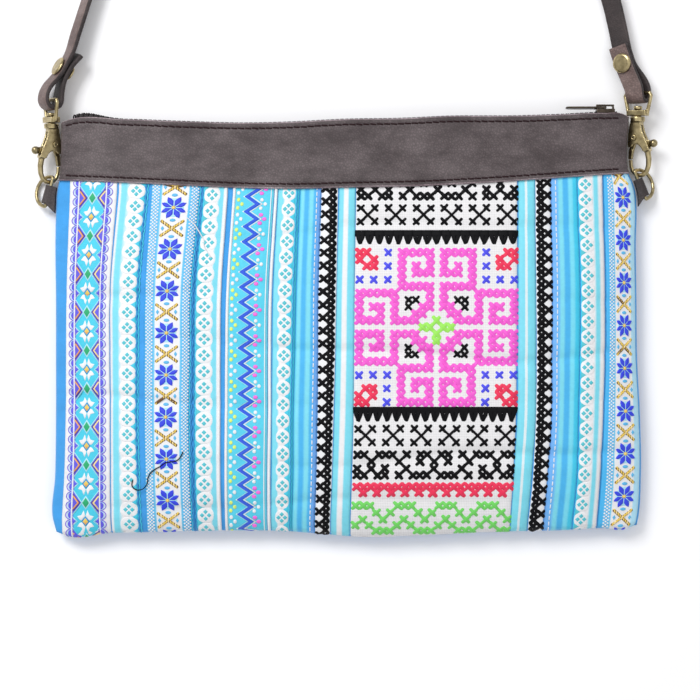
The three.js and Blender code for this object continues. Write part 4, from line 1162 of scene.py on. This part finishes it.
class Band:
    """A leather band over one wall; sign is 1 on the front and -1 on the back."""

    def __init__(self, name, node, lows, inner, sign):
        self.name, self.node, self.lows, self.inner, self.sign = name, node, lows, inner, sign

    def rows(self, x):
        return top_y(x) - ROW_TOP, self.lows(x) + ROW_LOW

    def outer(self, x, y):
        """Height of its outside: rounded edges, a groove along each stitch row, soft swells between."""
        lo, hi = self.lows(x), top_y(x)
        d = np.minimum(np.minimum(y - lo, hi - y), inset(x, y))
        edge = arched(d, BAND_ROUND)
        thick = BAND_T * (0.35 + 0.65 * edge)
        for row in self.rows(x):
            thick = thick - 0.38 * np.exp(-(((y - row) / 0.7) ** 2))
            thick = thick + 0.12 * np.exp(-(((y - row) / 2.2) ** 2)) * edge
        swells = np.sin(x / 17 + 0.8 * np.sin(y / 9)) * np.sin(y / 8 + x / 60)
        swells = swells + 0.5 * np.sin(x / 7.3 + y / 12)
        thick = thick + 0.16 * swells * unit(d / 5) - (0.3 * edge if self.sign < 0 else 0)
        return self.inner(x, y) + self.sign * (WALL + BAND_LIFT + thick)

    def make(self):
        x, y = cells(self.lows, top_y, *BAND_GRID[self.sign], 0.8)
        low = stack(x, y, self.inner(x, y) + self.sign * (WALL + BAND_LIFT))
        high = stack(x, y, self.outer(x, y))
        cut = (np.minimum(y - self.lows(x), top_y(x) - y) < CUT_EDGE)[:-1, :-1].ravel()
        index = np.concatenate([cut, cut, np.ones(2 * (sum(x.shape) - 2))])
        piece = mesh_piece(self.name, *shell(*((low, high) if self.sign > 0 else (high, low))),
                           [BAND_LEATHER, CUT_LEATHER], index=index, uv=grid_uv(low))
        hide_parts(self.node)
        self.stitch()

    def stitch(self):
        """Two rows of thick dark stitches, each a little slanted, pulled into the leather at its ends."""
        work = Threads()
        work.top = self.outer
        for k in (0, 1):
            for x in np.arange(STITCH_FROM, STITCH_TO, STITCH_PITCH):
                y = float(self.rows(np.array(x))[k])
                ends = np.array([(x - STITCH_LONG / 2, y + 0.12), (x, y), (x + STITCH_LONG / 2, y - 0.12)])
                ends[:, 1] += [float(self.rows(np.array(e))[k]) - y for e in ends[:, 0]]
                ends = ends + HAND.normal(0, 0.05, (3, 2))
                work.line(ends, STITCH_W, BAND_THREAD, STITCH_HIGH[self.sign], [0.6, 1.0, 0.6], along=True)
        points, faces, uv, index = work.settled()
        if self.sign < 0:
            faces = [f[::-1] for f in faces]
        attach(mesh_piece(self.name + "_stitches", points, faces, work.slots, index=index, uv=uv), "root")


Band("band_front", "leather_band_front", band_y, front_inner, 1).make()
Band("band_back", "leather_band_back", back_band_y, back_inner, -1).make()

# Zip coil: nylon loops along the mouth
COIL_END, COIL_UP, COIL_DOWN, COIL_HALF = 131.0, 1.3, 0.6, 2.0
BUMP_X, BUMP_W, BUMP_H = -126.0, 9.0, 1.6
TOOTH_PITCH, TOOTH_WIRE = 1.15, 0.36


def make_coil():
    x = np.arange(-COIL_END + 0.6, COIL_END - 0.4, TOOTH_PITCH)
    turn = np.radians(np.arange(0, 360, 30))
    ring = np.radians(np.arange(0, 360, 60))
    top = top_y(x)
    high = top + COIL_UP + BUMP_H * np.exp(-(((x - BUMP_X) / BUMP_W) ** 2))
    front, back = front_inner(x, top), back_inner(x, top)
    middle = (front + back) / 2
    half = np.minimum(COIL_HALF, (front - back) / 2 - 0.5) - TOOTH_WIRE
    centre, tall = (high + top - COIL_DOWN) / 2, (high - top + COIL_DOWN) / 2 - TOOTH_WIRE
    c, d = np.cos(turn)[None, :, None], np.sin(turn)[None, :, None]
    e, f = np.cos(ring)[None, None, :], np.sin(ring)[None, None, :]
    lean = 0.42 * TOOTH_PITCH * np.where(np.arange(len(x)) % 2, 1, -1)[:, None, None]
    columns = [a[:, None, None] for a in (x, centre, tall, middle, half)]
    px = columns[0] + lean * c + TOOTH_WIRE * f + 0 * d
    py = columns[1] + (columns[2] + TOOTH_WIRE * e) * d
    pz = columns[3] + (columns[4] + TOOTH_WIRE * e) * c
    points = np.stack(np.broadcast_arrays(px, py, pz), -1)
    n, m, k = points.shape[:3]
    ids = np.arange(n * m * k).reshape(n, m, k)
    right, up = np.roll(ids, -1, 1), np.roll(ids, -1, 2)
    faces = np.stack([ids, right, np.roll(right, -1, 2), up], -1).reshape(-1, 4)
    core = np.stack(np.broadcast_arrays(x[:, None], (columns[1] + 0.72 * columns[2] * d)[:, :, 0],
                                        (columns[3] + 0.72 * columns[4] * c)[:, :, 0]), -1)
    tube = np.arange(n * m).reshape(n, m) + points.size // 3
    beside = np.roll(tube, -1, 1)
    core_faces = np.stack([tube[:-1], tube[1:], beside[1:], beside[:-1]], -1).reshape(-1, 4).tolist()
    ends = [tube[0].tolist(), tube[-1][::-1].tolist()]
    points = np.concatenate([points.reshape(-1, 3), core.reshape(-1, 3)])
    piece = mesh_piece("zip_teeth", points, [*faces.tolist(), *core_faces, *ends], NYLON)
    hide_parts("zip_coil")


make_coil()

# Strap: plan of the main run, as shares: across, up from the bag's top edge, height of the centre,
# degrees that the grain side looks up
STRAP_W, STRAP_T, STRAP_REACH, RIVET_UP = 9.6, 2.3, 524.0, 14.5
STRAP_STEP = 1.1  # between points along it
RUN = [
    (-0.926, 0.078, 0.667, 34), (-0.897, 0.103, 0.594, 33), (-0.836, 0.153, 0.531, 30),
    (-0.764, 0.219, 0.531, 26), (-0.7, 0.296, 0.531, 22), (-0.65, 0.382, 0.531, 18),
    (-0.621, 0.477, 0.531, 12), (-0.607, 0.573, 0.531, 8), (-0.6, 0.668, 0.526, 4), (-0.586, 0.763, 0.526, 0),
    (-0.55, 0.84, 0.526, -2), (-0.471, 0.905, 0.526, -4), (-0.343, 0.956, 0.526, -6),
    (-0.179, 0.989, 0.526, -8), (0, 1, 0.531, -10), (0.179, 0.989, 0.531, -12), (0.343, 0.956, 0.531, -14),
    (0.479, 0.905, 0.531, -17), (0.564, 0.84, 0.531, -20), (0.607, 0.763, 0.531, -24),
    (0.629, 0.668, 0.521, -29), (0.643, 0.573, 0.51, -34), (0.661, 0.477, 0.5, -39),
    (0.689, 0.382, 0.479, -43), (0.732, 0.296, 0.469, -47), (0.786, 0.219, 0.458, -50),
    (0.85, 0.153, 0.448, -52), (0.914, 0.103, 0.438, -53), (0.934, 0.08, 0.427, -53),
]
# Fold round the clasp's bar, from the main run to the tail's end: up from the bar, out to the grain side
FOLD = [
    (1.379, 0.587), (1.145, 0.587), (0.855, 0.587), (0.655, 0.826), (0.345, 1.435), (0.124, 1.674),
    (-0.041, 1.652), (-0.186, 1.196), (-0.266, 0), (-0.186, -1.196), (-0.041, -1.652), (0.124, -1.674),
    (0.345, -1.435), (0.655, -0.848), (0.855, -0.609), (1.145, -0.609), (1.559, -1.13),
]
# Where the folded end leads: up from the bar, sideways and higher at the left end, then at the right
LEAD = [
    (-0.276, 0, -0.0406, 0, -0.0406), (0.034, 0, 0.0052, 0, 0.0052), (0.124, 0.0208, 0.0156, 0.0208, 0.0125),
    (0.345, 0.125, 0.0208, 0.1562, -0.0104), (0.655, 0.3542, 0.0104, 0.4062, -0.0625),
    (0.855, 0.5208, 0, 0.5521, -0.099), (1.145, 0.7604, -0.0208, 0.7083, -0.151),
    (1.379, 0.9583, -0.0469, 0.8021, -0.1927), (1.559, 1.1458, -0.0521, 0.8542, -0.2083),
]
CLASP_PITCH, BAR_UP = 5.6, 13.6
# side, place under the collar, degrees that the grain side looks up
CLASPS = {
    "left": (-1, (-HALF_W - 1.8, HALF_H - 5.7, SEAM_Z - 0.63), 35),
    "right": (1, (HALF_W - 0.1, HALF_H - 2.4, SEAM_Z - 0.63), -53),
}


def table_at(table, key, column):
    keys = [row[0] for row in table]
    return float(np.interp(key, keys, [row[column] for row in table]))


def normed(v):
    return v / np.linalg.norm(v)


def fold_frame(name, up):
    """Middle of the folded strap end at a height above the bar, its direction, across and grain side."""
    side, place, grain_up = CLASPS[name]
    pitch = math.radians(CLASP_PITCH)
    bar = np.array(place) + BAR_UP * np.array([0, math.cos(pitch), math.sin(pitch)])
    k = 1 if side < 0 else 3

    def at(h):
        lead = [STRAP_W * table_at(LEAD, h / RIVET_UP, k + i) for i in (0, 1)]
        return bar + np.array([-side * lead[0], h, lead[1]])

    d = normed(at(up + 1) - at(up - 1))
    wide = np.array([math.sin(math.radians(abs(grain_up))), 0, math.cos(math.radians(grain_up))])
    wide = normed(wide - wide.dot(d) * d)
    grain = normed(np.cross(wide, d))
    if grain[0] * side < 0:
        grain = -grain
    return at(up), d, wide, grain


def strap_route():
    """Centre line of the strap and the direction across it, from tail to tail."""
    ends = {}
    for name in CLASPS:
        rows = []
        for up, out in FOLD:
            at, _, wide, grain = fold_frame(name, up * RIVET_UP)
            rows.append((at + grain * out * STRAP_T, wide))
        ends[name] = rows
    run = [(np.array([a * HALF_W, HALF_H + u * STRAP_REACH, h * STRAP_W]), tilt) for a, u, h, tilt in RUN]
    rows = ends["left"][::-1] + run + ends["right"]
    points = np.array([r[0] for r in rows])
    across = []
    for i, (_, second) in enumerate(rows):
        d = normed(points[min(i + 1, len(rows) - 1)] - points[max(i - 1, 0)])
        if isinstance(second, (int, float)):
            outward = normed(np.cross((0, 0, 1), d) * (1, 1, 0))
            tilt = math.radians(second)
            grain = outward * math.cos(tilt) + np.array([0, 0, math.sin(tilt)])
            across.append(normed(np.cross(d, grain)))
        else:
            across.append(normed(second - second.dot(d) * d))
    return points, np.array(across)


def resample(points, across, step):
    """The same line, smooth and evenly divided."""
    knots = np.concatenate([[0], np.cumsum(np.linalg.norm(np.diff(points, axis=0), axis=1))])
    at = np.linspace(0, knots[-1], int(knots[-1] / step))
    p = np.stack([smooth(at, knots, points[:, k]) for k in range(3)], -1)
    w = np.stack([np.interp(at, knots, across[:, k]) for k in range(3)], -1)
    return at, p, w / np.linalg.norm(w, axis=1)[:, None]


# Half of the strap's section, from the middle of its grain side to the middle of its back: across, out
STRAP_HALF = [
    (0.0, 1.0), (0.4, 1.0), (0.66, 0.99), (0.74, 0.9), (0.82, 0.98), (0.93, 0.82), (0.985, 0.45), (1.0, 0.0),
    (0.985, -0.45), (0.93, -0.82), (0.82, -0.96), (0.4, -1.0), (0.0, -1.0),
]


def make_strap():
    at, p, wide = resample(*strap_route(), STRAP_STEP)
    d = np.gradient(p, axis=0)
    d /= np.linalg.norm(d, axis=1)[:, None]
    wide = wide - (wide * d).sum(1)[:, None] * d
    wide /= np.linalg.norm(wide, axis=1)[:, None]
    grain = np.cross(wide, d)
    section = STRAP_HALF + [(-a, b) for a, b in STRAP_HALF[-2:0:-1]]
    rows = [p + wide * a * STRAP_W / 2 + grain * b * STRAP_T / 2 for a, b in section]
    points = np.stack(rows, 1)
    n, m = points.shape[:2]
    ids = np.arange(n * m).reshape(n, m)
    after = np.roll(ids, -1, 1)
    faces = np.stack([ids[:-1], after[:-1], after[1:], ids[1:]], -1).reshape(-1, 4)
    caps = [list(ids[0][::-1]), list(ids[-1])]
    uv = np.stack(np.meshgrid(at, np.linspace(0, 1, m), indexing="ij"), -1).reshape(-1, 2)
    half = len(STRAP_HALF) - 1
    kind = [0 if k < 5 or k >= m - 5 else 2 if abs(k + 0.5 - half) < 2.5 else 1 for k in range(m)]
    index = kind * (n - 1) + [1, 1]
    piece = mesh_piece("strap_leather", points, [*faces.tolist(), *caps],
                       [STRAP_GRAIN, LEATHER_EDGE, STRAP_FLESH], index=index, uv=uv)
    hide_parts("strap")


make_strap()

# Leather tabs that hold the rings: side, middle of the ring's bar, its lean in degrees, gap to the side seam
TABS = {
    "left": (-1, (-HALF_W - 2.8, HALF_H - 36.2, SEAM_Z - 0.4), 15, 0.5),
    "right": (1, (HALF_W + 0.9, HALF_H - 32.9, SEAM_Z - 0.1), 22, 0.85),
}
TAB_T, TAB_HOLE, TAB_SEAM = 1.2, 1.2, 1.45  # thickness, inside radius round the bar, half of it at the seam
TAB_FROM, TAB_TO, TAB_FLARE = -6.0, 3.0, 3.2  # along the bar, and how much further down it is sewn in


def make_tab(name):
    """A strip of leather folded round the ring's bar, wider where both ends go into the seam."""
    side, place, lean, gap = TABS[name]
    a = math.radians(lean)
    bar, out = np.array([-side * math.sin(a), math.cos(a), 0]), np.array([side * math.cos(a), math.sin(a), 0])
    turn = np.radians(np.linspace(90, -90, 13))
    share = np.linspace(0, 1, 9)[:-1]
    ease = eased(share)
    grids = []
    for radius, half in ((TAB_HOLE, TAB_SEAM - TAB_T), (TAB_HOLE + TAB_T, TAB_SEAM)):
        rows = []
        for s in np.linspace(TAB_FROM, TAB_TO, 24):
            low = s - TAB_FLARE * (TAB_TO - s) / (TAB_TO - TAB_FROM)
            root = -4.0
            for _ in range(6):
                x, y = (place + bar * low + out * root)[:2]
                root += ((left_x if side < 0 else right_x)(y) + side * gap - x) / out[0]
            rise = SEAM_Z - place[2]
            upper = np.stack([root * (1 - share), (rise + half) * (1 - ease) + radius * ease], -1)
            lower = np.stack([root * (1 - share), (rise - half) * (1 - ease) - radius * ease], -1)[::-1]
            path = np.concatenate([upper, radius * np.stack([np.cos(turn), np.sin(turn)], -1), lower])
            leg = low + (s - low) * share
            along = np.concatenate([leg, np.full(len(turn), s), leg[::-1]])
            rows.append(place + along[:, None] * bar + path[:, :1] * out + path[:, 1:] * (0, 0, 1))
        grids.append(np.array(rows))
    points, faces = shell(*grids) if side < 0 else shell(*(g[::-1] for g in grids))
    index = np.concatenate([np.zeros(2 * (grids[0].shape[0] - 1) * (grids[0].shape[1] - 1)),
                            np.ones(2 * (sum(grids[0].shape[:2]) - 2))])
    piece = mesh_piece("tab_" + name, points, faces, [TAB_LEATHER, LEATHER_EDGE], index=index)
    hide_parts("ring_tab_" + name)


for side in TABS:
    make_tab(side)


# Hardware: the CAD pieces, softened as cast metal is
def cast(node, voxel, rounds, material):
    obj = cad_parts[node]
    obj.data.materials.clear()
    obj.data.materials.append(material)
    if voxel:
        remesh = obj.modifiers.new("cast", "REMESH")
        remesh.mode, remesh.voxel_size, remesh.use_smooth_shade = "VOXEL", voxel * MM, True
        soften = obj.modifiers.new("soften", "SMOOTH")
        soften.factor, soften.iterations = 0.5, rounds


for side in CLASPS:
    cast("clasp_hook_" + side, 0.28, 5, BRASS)
    cast("clasp_eye_" + side, 0.28, 4, BRASS)
    cast("clasp_gate_" + side, 0.25, 3, DARK_BRASS)
    cast("clasp_pin_" + side, 0.15, 2, BRASS)
    cast("d_ring_" + side, 0.2, 5, BRASS)
    cast("strap_rivet_" + side, 0.25, 3, BRASS)
cast("zip_slider", 0.15, 2, GUNMETAL)
cast("zip_pull", 0.18, 3, GUNMETAL)
for side in ("front", "back"):
    cast("zip_tape_" + side, 0, 0, ZIP_TAPE)


# Stage
VIEW_X, VIEW_Y, VIEW_Z, VIEW_W = 1.66, -12.1, 15.0, 332.5  # middle of the photograph and its width, in mm
LENS, SENSOR = 85.0, 36.0
WORLD = 0.8  # strength of the studio's white walls and ceiling


def make_stage():
    camera = bpy.data.objects.new("camera", bpy.data.cameras.new("camera"))
    camera.data.lens, camera.data.sensor_width = LENS, SENSOR
    camera.location = (VIEW_X * MM, VIEW_Y * MM, (VIEW_Z + VIEW_W * LENS / SENSOR) * MM)
    bpy.context.scene.collection.objects.link(camera)
    bpy.context.scene.camera = camera

    floor_mesh = bpy.data.meshes.new("floor")
    floor_mesh.from_pydata([(-3, -3, 0), (3, -3, 0), (3, 3, 0), (-3, 3, 0)], [], [(0, 1, 2, 3)])
    floor = bpy.data.objects.new("floor", floor_mesh)
    bpy.context.scene.collection.objects.link(floor)
    n = Nodes("floor_paper", Roughness=0.9)
    n.colour(n.vary(linear((250, 250, 252)), n.noise(n.place(), 3.0), 0.99, 1.0))
    floor_mesh.materials.append(n.material)
    floor.location.z = -0.0002

    for name, place, size, power in (
        ("key", (-0.6, 0.7, 1.0), 0.55, 11.5), ("fill", (0.8, -0.4, 1.2), 1.2, 2.0),
    ):
        light = bpy.data.lights.new(name, "AREA")
        light.size, light.energy = size, power
        obj = bpy.data.objects.new(name, light)
        obj.location = place
        obj.rotation_euler = (-Vector(place)).to_track_quat("-Z", "Y").to_euler()
        bpy.context.scene.collection.objects.link(obj)
    world = bpy.data.worlds.new("studio")
    world.use_nodes = True
    background = next(n for n in world.node_tree.nodes if n.type == "BACKGROUND")
    background.inputs["Strength"].default_value = WORLD
    tree = world.node_tree
    split = tree.nodes.new("ShaderNodeSeparateXYZ")
    ramp = tree.nodes.new("ShaderNodeValToRGB")
    tree.links.new(tree.nodes.new("ShaderNodeTexCoord").outputs["Generated"], split.inputs[0])
    tree.links.new(split.outputs["Z"], ramp.inputs["Fac"])
    tree.links.new(ramp.outputs["Color"], background.inputs["Color"])
    ramp.color_ramp.elements[0].position, ramp.color_ramp.elements[0].color = 0.1, (0.3, 0.3, 0.31, 1)
    ramp.color_ramp.elements[1].position, ramp.color_ramp.elements[1].color = 0.8, (1, 1, 1, 1)
    bpy.context.scene.world = world
    bpy.context.scene.view_settings.view_transform = "Standard"


make_stage()
